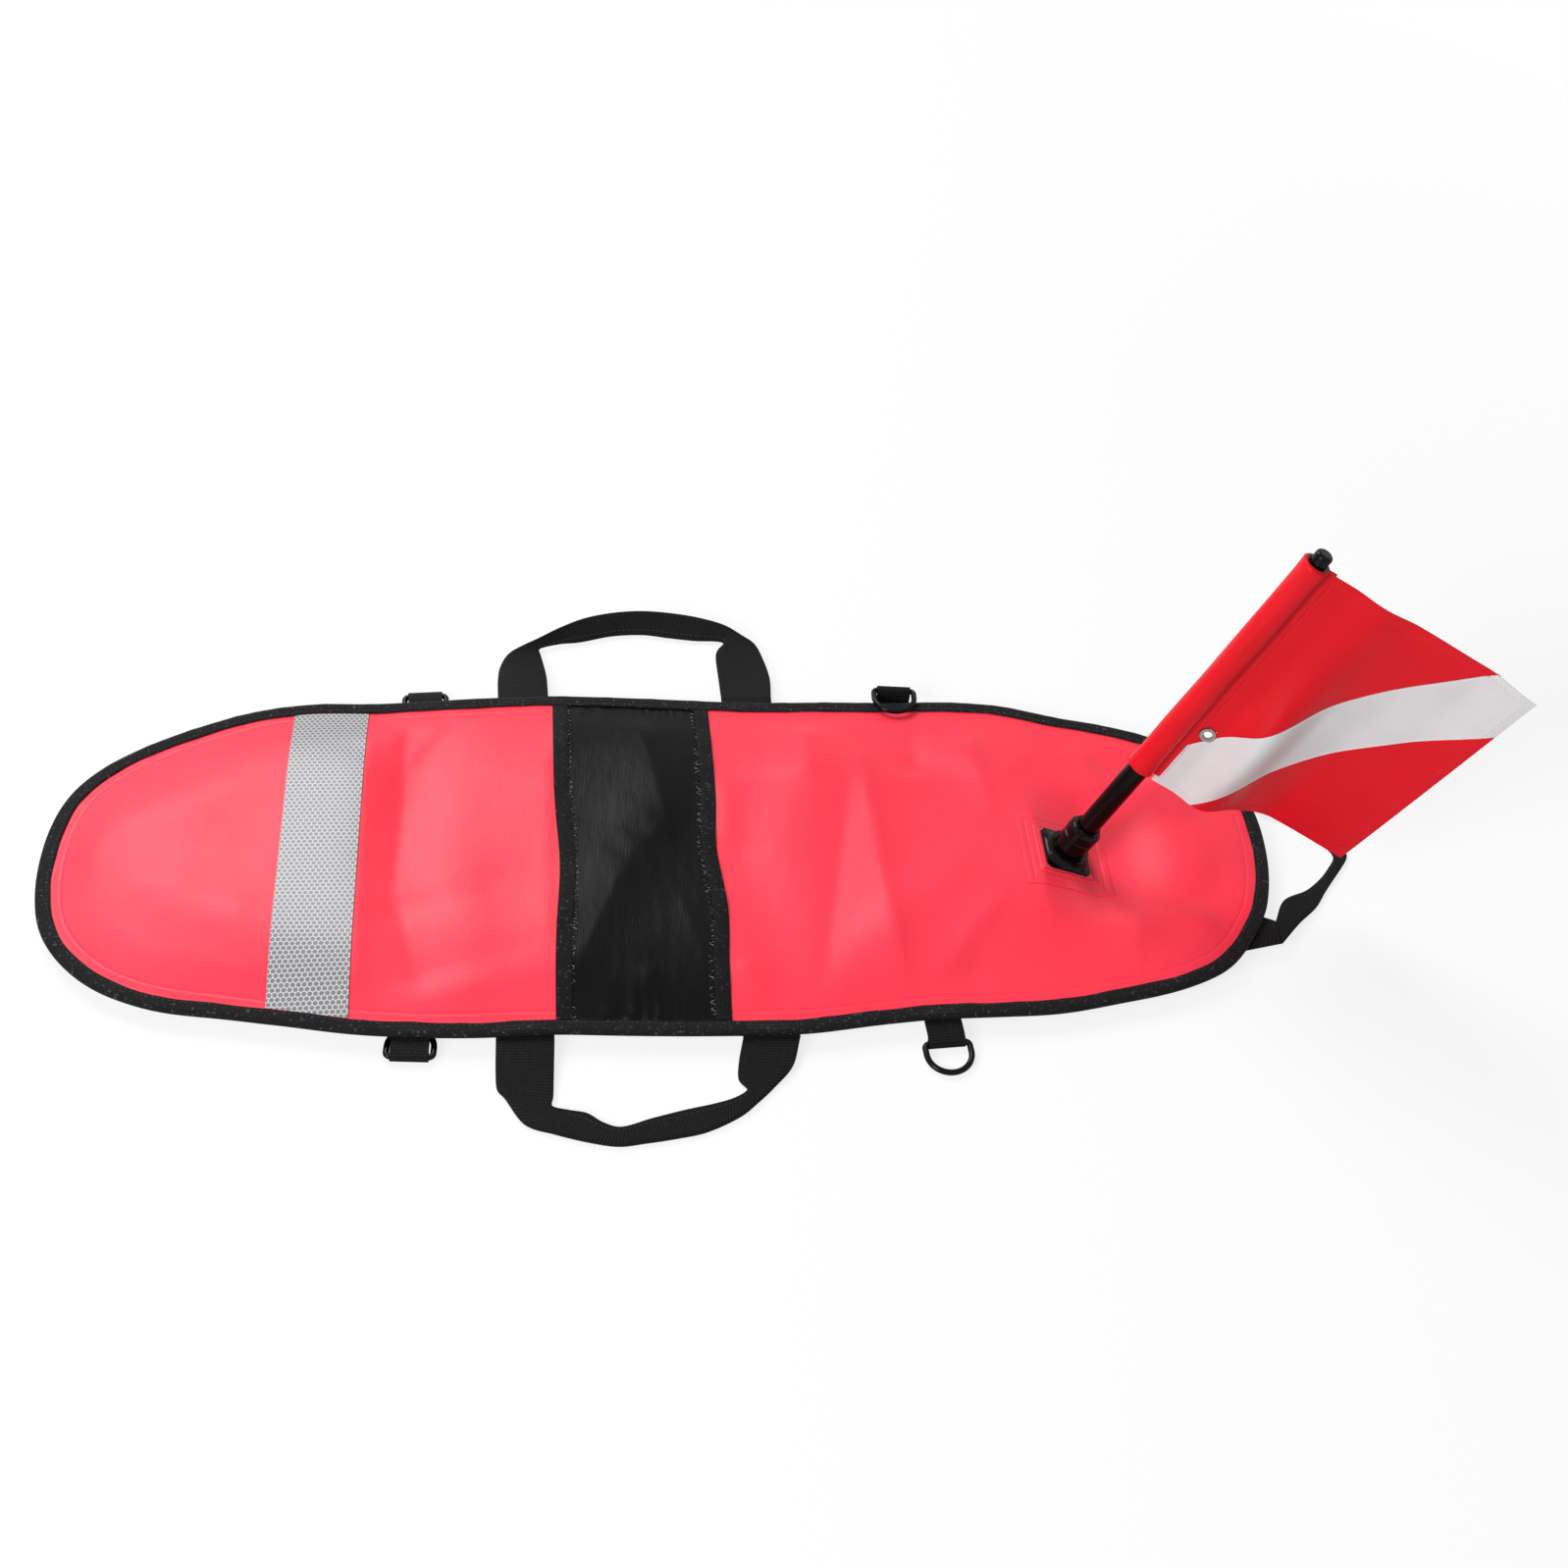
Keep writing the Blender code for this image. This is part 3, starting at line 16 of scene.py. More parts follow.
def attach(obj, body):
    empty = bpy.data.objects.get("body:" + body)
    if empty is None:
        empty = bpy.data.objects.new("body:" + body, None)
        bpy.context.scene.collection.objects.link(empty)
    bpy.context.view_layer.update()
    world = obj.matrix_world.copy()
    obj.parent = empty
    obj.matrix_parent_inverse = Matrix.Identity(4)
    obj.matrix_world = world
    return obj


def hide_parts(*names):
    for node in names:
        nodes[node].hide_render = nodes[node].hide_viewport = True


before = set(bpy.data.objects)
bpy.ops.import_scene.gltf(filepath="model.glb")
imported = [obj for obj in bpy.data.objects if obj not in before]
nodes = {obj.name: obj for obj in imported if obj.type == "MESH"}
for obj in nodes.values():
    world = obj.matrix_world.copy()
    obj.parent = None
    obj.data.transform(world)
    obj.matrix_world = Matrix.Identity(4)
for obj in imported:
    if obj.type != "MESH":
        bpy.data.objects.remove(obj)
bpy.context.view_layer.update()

# %% [markdown]
# ## Small helpers
# Colours are written as sRGB hex, as a colour picker shows them, and one function makes them linear. One
# function adds a shader node with its settings and links. Nothing stays selected before an operator.


# %% Small helpers
def from_hex(code):
    """Linear RGBA from an sRGB hex colour."""
    shares = [int(code[i:i + 2], 16) / 255 for i in (0, 2, 4)]
    return [c / 12.92 if c <= 0.04045 else ((c + 0.055) / 1.055) ** 2.4 for c in shares] + [1.0]


def add(tree, kind, inputs=None, **settings):
    """Add a shader node; inputs are values, or the sockets or nodes that feed them."""
    node = tree.nodes.new("ShaderNode" + kind)
    for name, value in settings.items():
        setattr(node, name, value)
    for name, value in (inputs or {}).items():
        if isinstance(value, bpy.types.Node):
            value = value.outputs[0]
        if isinstance(value, bpy.types.NodeSocket):
            tree.links.new(value, node.inputs[name])
        else:
            node.inputs[name].default_value = value
    return node


def in_scene(name, data):
    """An object of the scene that holds a mesh, a lamp or a camera."""
    holder = bpy.data.objects.new(name, data)
    bpy.context.scene.collection.objects.link(holder)
    return holder


def select_only(*pieces):
    """Select these pieces and nothing else."""
    bpy.ops.object.select_all(action="DESELECT")
    for piece in pieces:
        piece.select_set(True)
        bpy.context.view_layer.objects.active = piece


def smooth(share):
    """Ease from 0 to 1, for numbers and arrays."""
    share = np.clip(share, 0.0, 1.0)
    return share * share * (3 - 2 * share)


def unit(vectors):
    """Vectors of length 1 along the last axis."""
    return vectors / np.maximum(np.linalg.norm(vectors, axis=-1, keepdims=True), 1e-12)


def run_along(path):
    """Distance along a path to each of its points."""
    return np.concatenate([[0], np.cumsum(np.linalg.norm(np.diff(path, axis=0), axis=1))])


print("helpers ready")

# %% [markdown]
# ## Camera
# The view is the photograph's own: a 48 mm lens that looks down at about 47 degrees from the near side. Its
# axes were fitted to the board's outline and the mast, so the render can be laid over the photograph.

# %% Camera
CAMERA_PLACE = Vector((-0.0869, -0.9219, 1.0955))
CAMERA_BACK = Vector((-0.1136, -0.6678, 0.7356)).normalized()
CAMERA_RIGHT = Vector((0.9935, -0.0811, 0.0799))
CAMERA_RIGHT = (CAMERA_RIGHT - CAMERA_BACK * CAMERA_RIGHT.dot(CAMERA_BACK)).normalized()
lens = bpy.data.cameras.new("view")
lens.lens, lens.sensor_width, lens.clip_end = 48.44, 36.0, 50.0
camera = in_scene("view", lens)
turn = Matrix((CAMERA_RIGHT, CAMERA_BACK.cross(CAMERA_RIGHT), CAMERA_BACK)).transposed().to_4x4()
camera.matrix_world = Matrix.Translation(CAMERA_PLACE) @ turn
bpy.context.scene.camera = camera
bpy.context.scene.view_settings.view_transform = "Standard"
print("camera is", round(CAMERA_PLACE.length, 3), "m from the board's middle")

# %% [markdown]
# ## Floor and light
# A white product sweep: a pale floor, a broad soft key from the upper left that rakes over the folds, and
# a weak fill. The floor glows a little towards the camera, so that it fades into the white behind it. The
# world is white where the camera or a reflection sees it, and dimmer as a lamp.

# %% Floor and light
FLOOR_SIZE, FLOOR_GAP, WORLD_LIGHT = 12.0, 0.0004, 0.28
select_only()
bpy.ops.mesh.primitive_plane_add(size=FLOOR_SIZE, location=(0, 0, -FLOOR_GAP))
floor = bpy.context.object
floor.name = "floor"
floor.data.transform(floor.matrix_world)
floor.matrix_world = Matrix.Identity(4)
paper = bpy.data.materials.new("studio_paper")
paper.use_nodes = True
tree = paper.node_tree
tree.nodes.clear()
away = add(tree, "VectorMath", {0: add(tree, "TexCoord").outputs["Object"]}, operation="LENGTH")
share = add(tree, "MapRange", {"Value": away.outputs["Value"], "From Min": 0.7, "From Max": 1.5,
                               "To Min": 0.8, "To Max": 1.0})
seen = add(tree, "Math", {0: add(tree, "LightPath").outputs["Is Camera Ray"], 1: share},
           operation="MULTIPLY")
matt = add(tree, "BsdfDiffuse", {"Color": from_hex("F4F4F4")})
glow = add(tree, "Emission", {"Color": from_hex("FFFFFF"), "Strength": 1.0})
add(tree, "OutputMaterial", {"Surface": add(tree, "MixShader", {"Fac": seen, 1: matt, 2: glow})})
floor.data.materials.append(paper)

world = bpy.data.worlds.new("studio")
bpy.context.scene.world = world
world.use_nodes = True
tree = world.node_tree
tree.nodes.clear()
path = add(tree, "LightPath")
shown = path.outputs["Is Camera Ray"]
for kind in ("Is Glossy Ray", "Is Transmission Ray"):
    shown = add(tree, "Math", {0: shown, 1: path.outputs[kind]}, operation="MAXIMUM")
level = add(tree, "MapRange", {"Value": shown, "To Min": WORLD_LIGHT, "To Max": 1.0})
sky = add(tree, "Background", {"Color": from_hex("FFFFFF"), "Strength": level})
add(tree, "OutputWorld", {"Surface": sky})

# name, place, side in metres and watts of each square lamp; both look at the board's middle
for name, place, size, power in (("front key", (-1.95, -1.65, 1.60), 1.2, 72.0),
                                 ("back sheen", (-0.95, 1.80, 2.10), 1.5, 58.0)):
    lamp = bpy.data.lights.new(name, "AREA")
    lamp.size, lamp.energy = size, power
    aim = Vector(place).to_track_quat("Z", "Y").to_matrix().to_4x4()
    in_scene(name, lamp).matrix_world = Matrix.Translation(place) @ aim
    print("lamp:", name, power, "W")

# %% [markdown]
# ## Finishes
# Each finish starts from a plain Principled surface and then gets its own pattern. Bump heights and
# pattern scales are real sizes in metres, and the finest weaves are drawn a little coarser than they are
# so that they still show in a picture of the whole float.


# %% Start of a finish
def plain_finish(name, colour, roughness, **sockets):
    """A Principled material with plain constants; returns it with its tree and shader."""
    made = bpy.data.materials.new(name)
    made.use_nodes = True
    shader = made.node_tree.nodes["Principled BSDF"]
    shader.inputs["Base Color"].default_value = from_hex(colour)
    shader.inputs["Roughness"].default_value = roughness
    for socket, value in sockets.items():
        shader.inputs[socket.replace("_", " ")].default_value = value
    return made, made.node_tree, shader


def tint(tree, shader, factor, *colours):
    """Let the base colour run between two colours, each a hex code or a node."""
    first, second = (from_hex(c) if isinstance(c, str) else c for c in colours)
    ramp = add(tree, "MixRGB", {"Fac": factor, "Color1": first, "Color2": second})
    tree.links.new(ramp.outputs[0], shader.inputs["Base Color"])


def rough(tree, shader, factor, low, high):
    """Let the roughness run between two values."""
    level = add(tree, "MapRange", {"Value": factor, "To Min": low, "To Max": high})
    tree.links.new(level.outputs[0], shader.inputs["Roughness"])


def relief(tree, shader, height, depth, strength=1.0, over=None):
    """Bump from a height from 0 to 1, with a real depth in metres, over another bump if there is one."""
    bump = add(tree, "Bump", {"Height": height, "Distance": depth, "Strength": strength})
    if over:
        tree.links.new(over.outputs[0], bump.inputs["Normal"])
    tree.links.new(bump.outputs[0], shader.inputs["Normal"])
    return bump


print("finishes start from a Principled surface")

# %% [markdown]
# **Patterns.** Most finishes need one of two patterns: soft noise with a size in metres, and waves that
# cross to a weave. Waves of a real pitch are plain sines, so they stay even however long the tape is.


# %% Patterns
def place_of(tree, kind):
    """Object place, or the piece's own UV in metres along and across."""
    return add(tree, "TexCoord").outputs[kind]


def wave(tree, axis, pitch, place):
    """A smooth wave from 0 to 1 with a real pitch along one axis of a place."""
    parts = add(tree, "SeparateXYZ", {"Vector": place})
    angle = add(tree, "Math", {0: parts.outputs[axis], 1: 2 * math.pi / pitch}, operation="MULTIPLY")
    swing = add(tree, "Math", {0: angle}, operation="SINE")
    return add(tree, "MapRange", {"Value": swing, "From Min": -1.0})


def weave(tree, place, pitch):
    """Plain weave: warp and weft waves multiplied to rows of small pillows."""
    return add(tree, "Math", {0: wave(tree, "X", pitch, place), 1: wave(tree, "Y", pitch, place)},
               operation="MULTIPLY")


def cloud(tree, place, size, detail=2.0):
    """Soft noise whose blobs are about one size across, in metres."""
    return add(tree, "TexNoise", {"Vector": place, "Scale": 1 / size, "Detail": detail})


print("patterns: wave, weave and cloud")

# %% [markdown]
# **Coated fabric.** Nylon cloth with a calendered PVC film on both sides, radio-frequency welded along the
# edge. The film gives a satin skin, slightly wavy, with the base cloth's weave just showing through. A
# picture of cloth would blur close by, so both are drawn by nodes.

# %% Coated fabric
CORAL, tree, shader = plain_finish("pvc_coated_nylon_coral", "FF394E", 0.36, Specular_IOR_Level=0.22)
place = place_of(tree, "Object")
tint(tree, shader, cloud(tree, place, 0.070), "FC3449", "FF3F55")
rough(tree, shader, cloud(tree, place, 0.020), 0.32, 0.40)
skin_waves = relief(tree, shader, cloud(tree, place, 0.012, 3.0), 0.0006, 0.35)
# The base cloth's threads are 0.5 mm apart; drawn at 0.9 mm so that they show.
DRAWN_WEAVE = 0.0009
relief(tree, shader, weave(tree, place, DRAWN_WEAVE), 0.00004, over=skin_waves)
print("finish:", CORAL.name)

# %% [markdown]
# **Black nylon.** Thin pack cloth with a shiny coating: almost black, with grey reflections that break up
# over fine creases. The creases are noise stretched across the panel, which costs no faces.

# %% Black nylon
NYLON, tree, shader = plain_finish("coated_pack_nylon_black", "09090A", 0.25, Specular_IOR_Level=0.068)
place = place_of(tree, "Object")
tint(tree, shader, cloud(tree, place, 0.030), "070708", "0D0D0E")
stretched = add(tree, "Mapping", {"Vector": place, "Scale": (1.0, 0.35, 1.0)})
creases = relief(tree, shader, cloud(tree, stretched, 0.009, 4.0), 0.0008, 0.45)
relief(tree, shader, weave(tree, place, DRAWN_WEAVE), 0.00005, over=creases)
print("finish:", NYLON.name)


# %% [markdown]
# ** Webbing and binding.** Woven polypropylene: ribs run across the webbing about 2 mm apart, and each rib
# is broken by the warp threads. The binding is the same fibre in a finer grosgrain. The colour is painted
# lighter on the ribs' tops and darker in their grooves, as shade, with a random tone over it. Both
# patterns follow the piece's own UV map, which is in metres along and across the tape, so they turn with
# every fold.

# %% Webbing and binding
def woven_tape(name, dark, light, rib, warp, depth, lint):
    """Ribbed black tape from its rib and warp pitch in metres; lint is its share of pale specks."""
    made, tree, shader = plain_finish(name, dark, 0.62, Specular_IOR_Level=0.08, Sheen_Weight=0.02,
                                      Sheen_Roughness=0.5)
    along, place = place_of(tree, "UV"), place_of(tree, "Object")
    both = add(tree, "Math", {0: wave(tree, "Y", warp, along), 1: 0.12, 2: wave(tree, "X", rib, along)},
               operation="MULTIPLY_ADD")
    ribs = add(tree, "Math", {0: both, 1: 0.89}, operation="MULTIPLY")
    # painted shade: the colour follows the ribs' height, darker in their grooves and lighter on their tops,
    # with a random tone from the noise
    shade = add(tree, "Math", {0: ribs, 1: cloud(tree, place, 0.0016, 3.0)}, operation="MULTIPLY")
    rib_shade_and_tone = add(tree, "MixRGB", {"Fac": shade, "Color1": from_hex(dark), "Color2": from_hex(light)})
    specks = add(tree, "MapRange", {"Value": cloud(tree, place, 0.0022, 4.0), "From Min": 0.60,
                                    "From Max": 0.74, "To Max": lint})
    tint(tree, shader, specks, rib_shade_and_tone, "8C8C90")
    relief(tree, shader, ribs, depth, 0.8)
    return made


WEBBING = woven_tape("woven_polypropylene_webbing", "030304", "232326", 0.0019, 0.0017, 0.00035, 0.03)
BINDING = woven_tape("grosgrain_binding", "09090A", "222225", 0.0012, 0.0016, 0.00020, 0.30)
SEAM_TAPE = woven_tape("black_seam_tape", "050506", "161618", 0.0012, 0.0016, 0.00015, 0.22)
print("finishes:", WEBBING.name, BINDING.name, SEAM_TAPE.name)

# %% [markdown]
# **Reflective tape.** Grey retroreflective film under a clear top layer that is sealed to it in a white
# honeycomb, 3.6 mm from cell to cell. Two staggered grids give the cells: a point's distance to the
# nearer grid point, measured as a hexagon, tells cell from border. So the cells need no picture.

# %% Reflective tape
CELL, ROW = 0.0036, math.sqrt(3)
FAR_CELLS = 500  # whole cells that keep the modulo away from negative numbers
TAPE, tree, shader = plain_finish("retroreflective_honeycomb_tape", "9A9A9C", 0.34,
                                  Specular_IOR_Level=0.3, Coat_Weight=0.12, Coat_Roughness=0.20)
place = place_of(tree, "Object")
grid = add(tree, "VectorMath", {0: place, 1: (1 / CELL, 1 / CELL, 0)}, operation="MULTIPLY")
distances = []
for shift in (0, 0.5):
    moved = add(tree, "VectorMath", {0: grid, 1: (FAR_CELLS + shift, (FAR_CELLS + shift) * ROW, 0)})
    cell = add(tree, "VectorMath", {0: moved, 1: (1, ROW, 1)}, operation="MODULO")
    centred = add(tree, "VectorMath", {0: cell, 1: (0.5, ROW / 2, 0)}, operation="SUBTRACT")
    folded = add(tree, "VectorMath", {0: centred}, operation="ABSOLUTE")
    slant = add(tree, "VectorMath", {0: folded, 1: (0.5, ROW / 2, 0)}, operation="DOT_PRODUCT")
    parts = add(tree, "SeparateXYZ", {"Vector": folded})
    hexagon = add(tree, "Math", {0: slant.outputs["Value"], 1: parts}, operation="MAXIMUM")
    circle = add(tree, "VectorMath", {0: centred}, operation="LENGTH")
    distances.append(add(tree, "Math", {0: hexagon, 1: circle.outputs["Value"]}))
nearer = add(tree, "Math", {0: distances[0], 1: distances[1]}, operation="MINIMUM")
border = add(tree, "MapRange", {"Value": nearer, "From Min": 0.75, "From Max": 0.87})
beads = add(tree, "MixRGB", {"Fac": cloud(tree, place, 0.0011, 3.0), "Color1": from_hex("646468"),
                             "Color2": from_hex("8A8A8D")})
tint(tree, shader, border, beads, "C3C3C5")
relief(tree, shader, border, 0.00008, 0.6)
print("finish:", TAPE.name, "cells", CELL * 1000, "mm apart")


# %% [markdown]
# **Flag nylon.** Light woven nylon: a strong dyed red and a white. The cloth is crisp, with a soft sheen
# along its folds, and its weave is drawn at 1 mm, about twice the real pitch.

# %% Flag nylon
def flag_cloth(name, dark, light, specular):
    """Light woven nylon between two hex colours."""
    made, tree, shader = plain_finish(name, light, 0.40, Specular_IOR_Level=specular,
                                      Sheen_Weight=0.03, Sheen_Roughness=0.4)
    place = place_of(tree, "UV")
    tint(tree, shader, cloud(tree, place, 0.030), dark, light)
    low = relief(tree, shader, cloud(tree, place, 0.016), 0.0007, 0.4)
    relief(tree, shader, weave(tree, place, 0.0010), 0.00004, over=low)
    return made


FLAG_RED = flag_cloth("dyed_nylon_red", "C80918", "D60E20", 0.15)
FLAG_WHITE = flag_cloth("nylon_white", "C6C6C8", "D4D4D6", 0.30)
print("finishes:", FLAG_RED.name, FLAG_WHITE.name)


# %% [markdown]
# ** Thread, mouldings, tube and metal.** Bonded thread has a mottled tone. The overlock along the panel's
# seams catches the light, and these glints are painted into its colour as pale grey specks. The socket,
# collar, cap and rings are glossy injection-moulded nylon with faint flow marks. The mast is drawn
# fibreglass tube with a satin skin and fine lines along it. The eyelet is nickel-plated brass with uneven
# wear. All of them differ only in a few values, so one function makes them.

# %% Thread, mouldings, tube and metal
def small_finish(name, colour, roughness, tones=None, wear=None, bumps=None, glints=None, lean=None,
                 **sockets):
    """A finish of a small part: each of its patterns is noise of a real size.

    tones is size, dark, light; wear is size, detail, low, high; bumps is size, depth, strength. The glint
    levels are the noise levels between which the tone turns to its light colour, a painted highlight; lean
    is the angle that the marks are drawn along.
    """
    made, tree, shader = plain_finish(name, colour, roughness, **sockets)
    place = place_of(tree, "Object")
    if lean is not None:
        place = add(tree, "Mapping", {"Vector": place, "Rotation": (0, lean, 0), "Scale": (1, 1, 0.03)})
    if tones:
        tone = cloud(tree, place, tones[0])
        # glint levels turn the tone into a painted highlight where the noise is high
        if glints:
            tone = add(tree, "MapRange", {"Value": tone, "From Min": glints[0], "From Max": glints[1]})
        tint(tree, shader, tone, *tones[1:])
    if wear:
        rough(tree, shader, cloud(tree, place, *wear[:2]), *wear[2:])
    if bumps:
        relief(tree, shader, cloud(tree, place, bumps[0]), *bumps[1:])
    return made


THREAD = small_finish("bonded_nylon_thread_black", "232325", 0.45, (0.0012, "161617", "36363A"),
                      Specular_IOR_Level=0.2)
# painted highlight: this thread's pale grey specks are glints of light painted into its colour
GLINT_PAINTED_THREAD = small_finish("overlock_thread_painted_glints", "4A4A4E", 0.40, (0.0030, "111112", "9A9AA0"),
                           glints=(0.50, 0.66), Specular_IOR_Level=0.2)
RED_THREAD = small_finish("polyester_thread_red", "C81420", 0.45, (0.0012, "B0101A", "E4303C"))
WHITE_THREAD = small_finish("polyester_thread_white", "DADADC", 0.45, (0.0012, "DCDCDE", "FAFAFA"))
MOULDED = small_finish("moulded_nylon_black", "040405", 0.12, wear=(0.004, 3.0, 0.07, 0.17),
                       bumps=(0.003, 0.0002, 0.25), Specular_IOR_Level=0.13)
TUBE = small_finish("drawn_fibreglass_tube_black", "040405", 0.20, wear=(0.0012, 3.0, 0.14, 0.28),
                    bumps=(0.0009, 0.0001, 0.35), lean=-math.radians(21.9), Specular_IOR_Level=0.12)
NICKEL = small_finish("nickel_plated_brass", "96948F", 0.22, wear=(0.0012, 3.0, 0.14, 0.34),
                      bumps=(0.0010, 0.0001, 0.25), Metallic=1.0)
VALVE = small_finish("moulded_pvc_dark_grey", "2A2A2C", 0.38, wear=(0.003, 3.0, 0.30, 0.46))
FILM = small_finish("tpu_film_milky", "D8DCE0", 0.30, wear=(0.010, 2.0, 0.24, 0.40))
RUBBER = small_finish("silicone_black", "1A1A1C", 0.55, wear=(0.002, 2.0, 0.48, 0.62))
print("finishes:", len(bpy.data.materials))


# %% [markdown]
# ## Meshes from rows of points
# Cloth is a grid of points that gets its thickness from Solidify. Straps, tabs and binding are a closed
# section carried along a path. Both carry a UV map in metres, so that a weave follows the piece.

# %% Meshes from rows of points
MERGE = 2e-6


def show(name, mesh, look, smooth_deg=40.0):
    """Turn a bmesh into a smooth-shaded piece with one finish."""
    data = bpy.data.meshes.new(name)
    mesh.to_mesh(data)
    mesh.free()
    data.materials.append(look)
    data.shade_smooth()
    data.set_sharp_from_angle(angle=math.radians(smooth_deg))
    return in_scene(name, data)


def lay_quads(mesh, rows, uv=None, wrap_rows=False, wrap_row=False):
    """Join a grid of points by quads and give each corner its UV, which is its plan unless given."""
    uv = np.concatenate([rows, rows[:1]])[..., :2] if uv is None else uv
    layer = mesh.loops.layers.uv.verify()
    count, width = rows.shape[:2]
    verts = [[mesh.verts.new(point) for point in row] for row in rows.tolist()]
    for i in range(count if wrap_rows else count - 1):
        k = (i + 1) % count
        for j in range(width if wrap_row else width - 1):
            m = (j + 1) % width
            face = mesh.faces.new((verts[i][j], verts[k][j], verts[k][m], verts[i][m]))
            for loop, spot in zip(face.loops, (uv[i][j], uv[i + 1][j], uv[i + 1][j + 1], uv[i][j + 1])):
                loop[layer].uv = spot
    return verts


print("grids of quads, points merge under", MERGE * 1e6, "micrometres")

# %% [markdown]
# **Cloth and swept sections.** A real sheet has two faces and a cut edge, so cloth isn't left as a single
# layer. Solidify gives it those with an even thickness, wherever it bends.


# %% Cloth and swept sections
def apply(piece, modifier):
    """Apply a modifier to a piece."""
    select_only(piece)
    bpy.ops.object.modifier_apply(modifier=modifier.name)


def cloth(name, rows, thickness, look, uv=None, wrap_rows=False, up=(0, 0, 1), offset=-1.0,
          smooth_deg=40.0):
    """A sheet through a grid of points, as thick as its cloth, with its face towards up."""
    mesh = bmesh.new()
    lay_quads(mesh, rows, uv, wrap_rows)
    bmesh.ops.remove_doubles(mesh, verts=mesh.verts, dist=MERGE)
    bmesh.ops.dissolve_degenerate(mesh, edges=mesh.edges, dist=MERGE)
    mesh.normal_update()
    facing = sum((face.normal * face.calc_area() for face in mesh.faces), Vector())
    if facing.dot(Vector(up)) < 0:
        bmesh.ops.reverse_faces(mesh, faces=mesh.faces)
    piece = show(name, mesh, look)
    wall = piece.modifiers.new("wall", "SOLIDIFY")
    wall.thickness, wall.offset = thickness, offset
    apply(piece, wall)
    piece.data.set_sharp_from_angle(angle=math.radians(smooth_deg))
    return piece


def swept(name, sections, look, closed=False, smooth_deg=40.0):
    """A solid through equal closed sections; UV runs in metres along and round them."""
    middles, first = sections.mean(axis=1), sections[len(sections) // 2]
    along, around = (run_along(np.vstack([line, line[:1]])) for line in (middles, first))
    mesh = bmesh.new()
    uv = np.stack(np.meshgrid(along, around, indexing="ij"), axis=-1)
    verts = lay_quads(mesh, sections, uv, closed, True)
    if not closed:
        mesh.faces.new(verts[0])
        mesh.faces.new(verts[-1][::-1])
    bmesh.ops.recalc_face_normals(mesh, faces=mesh.faces)
    return show(name, mesh, look, smooth_deg)


print("cloth and swept sections ready")

# %% [markdown]
# ** Bodies.** A piece moves with one body of the CAD model and stands for the CAD solids that it replaces,
# which are hidden.


# %% Bodies
def onto(piece, body, slot, *stands_for, **cut):
    """Fix a piece to its body and hide the nodes it stands for; slot and cut are not used."""
    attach(piece, body)
    if stands_for:
        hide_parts(*stands_for)
    return piece


# %% [markdown]
# ## The board's shape
# The plan is two blunt curves on a straight middle, as in the CAD. A formula gives it, so its length and
# its normals are exact at every point.

# %% The board's plan
HALF_LENGTH, HALF_WIDTH = 0.415, 0.149
NOSE_SHOULDER, NOSE_LENGTH, NOSE_FULLNESS = -0.120, 0.295, 2.0
TAIL_SHOULDER, TAIL_LENGTH, TAIL_FULLNESS = 0.020, 0.395, 2.7
END_BLUNTNESS = 3.0
OUTLINE_POINTS = 1440


def half_width(x):
    """Half the board's width at places along it."""
    nose = np.clip((NOSE_SHOULDER - x) / NOSE_LENGTH, 0, 1) ** NOSE_FULLNESS
    tail = np.clip((x - TAIL_SHOULDER) / TAIL_LENGTH, 0, 1) ** TAIL_FULLNESS
    return HALF_WIDTH * (1 - np.maximum(nose, tail)) ** (1 / END_BLUNTNESS)


def outward_normals(points):
    """Normals that point out of an even closed loop."""
    heading = unit(np.roll(points, -3, axis=0) - np.roll(points, 3, axis=0))
    return np.column_stack([-heading[:, 1], heading[:, 0]])


def board_outline():
    """Even points round the edge from the nose tip, and the edge's length."""
    run = np.linspace(0, 1, 200)
    nose = NOSE_SHOULDER - NOSE_LENGTH * (1 - run ** END_BLUNTNESS)
    middle = np.linspace(NOSE_SHOULDER, TAIL_SHOULDER, 60)[1:-1]
    tail = TAIL_SHOULDER + TAIL_LENGTH * (1 - run[::-1] ** END_BLUNTNESS)
    along = np.concatenate([nose, middle, tail])
    side = np.column_stack([along, half_width(along)])
    ring = np.concatenate([side, (side * (1, -1))[::-1][1:-1], side[:1]])
    length = run_along(ring)
    even = np.linspace(0, length[-1], OUTLINE_POINTS, endpoint=False)
    return np.column_stack([np.interp(even, length, ring[:, i]) for i in (0, 1)]), length[-1]


PLAN_EDGE, EDGE_LENGTH = board_outline()
PLAN_OUTWARD = outward_normals(PLAN_EDGE)
print("edge is", round(EDGE_LENGTH, 3), "m round")

# %% [markdown]
# **The slack edge.** Sewn cloth isn't as even as its plan, so a slow wander moves the edge in and out, as
# it lies in the photograph. Every sheet is laid from this one loop, so all of them meet at the edge.

# %% The slack edge
# millimetres outwards at 48 even stations round the plan from the nose tip
EDGE_WANDER_MM = (
    -1.3, -4.5, -5.2, -4.2, -1, 3.4, 2.5, -4, -3.8, -1.8, 0.4, -1.2, -3.4, -6.2, -7, -5.4,
    -4.6, 0, 1.5, -4, -2.2, -1, -0.7, -0.3, -1.5, -6.5, -6.2, 3.5, 3, 0.4, 0.8, -3.2,
    -6, -3.8, 1, 1.1, 0.5, -1, -3.2, -1.2, -1.4, -1.5, -3.5, -2.2, 3.8, 4.8, 0.8, -2)
WANDER_REACH = 11  # outline points over which the wander is smoothed


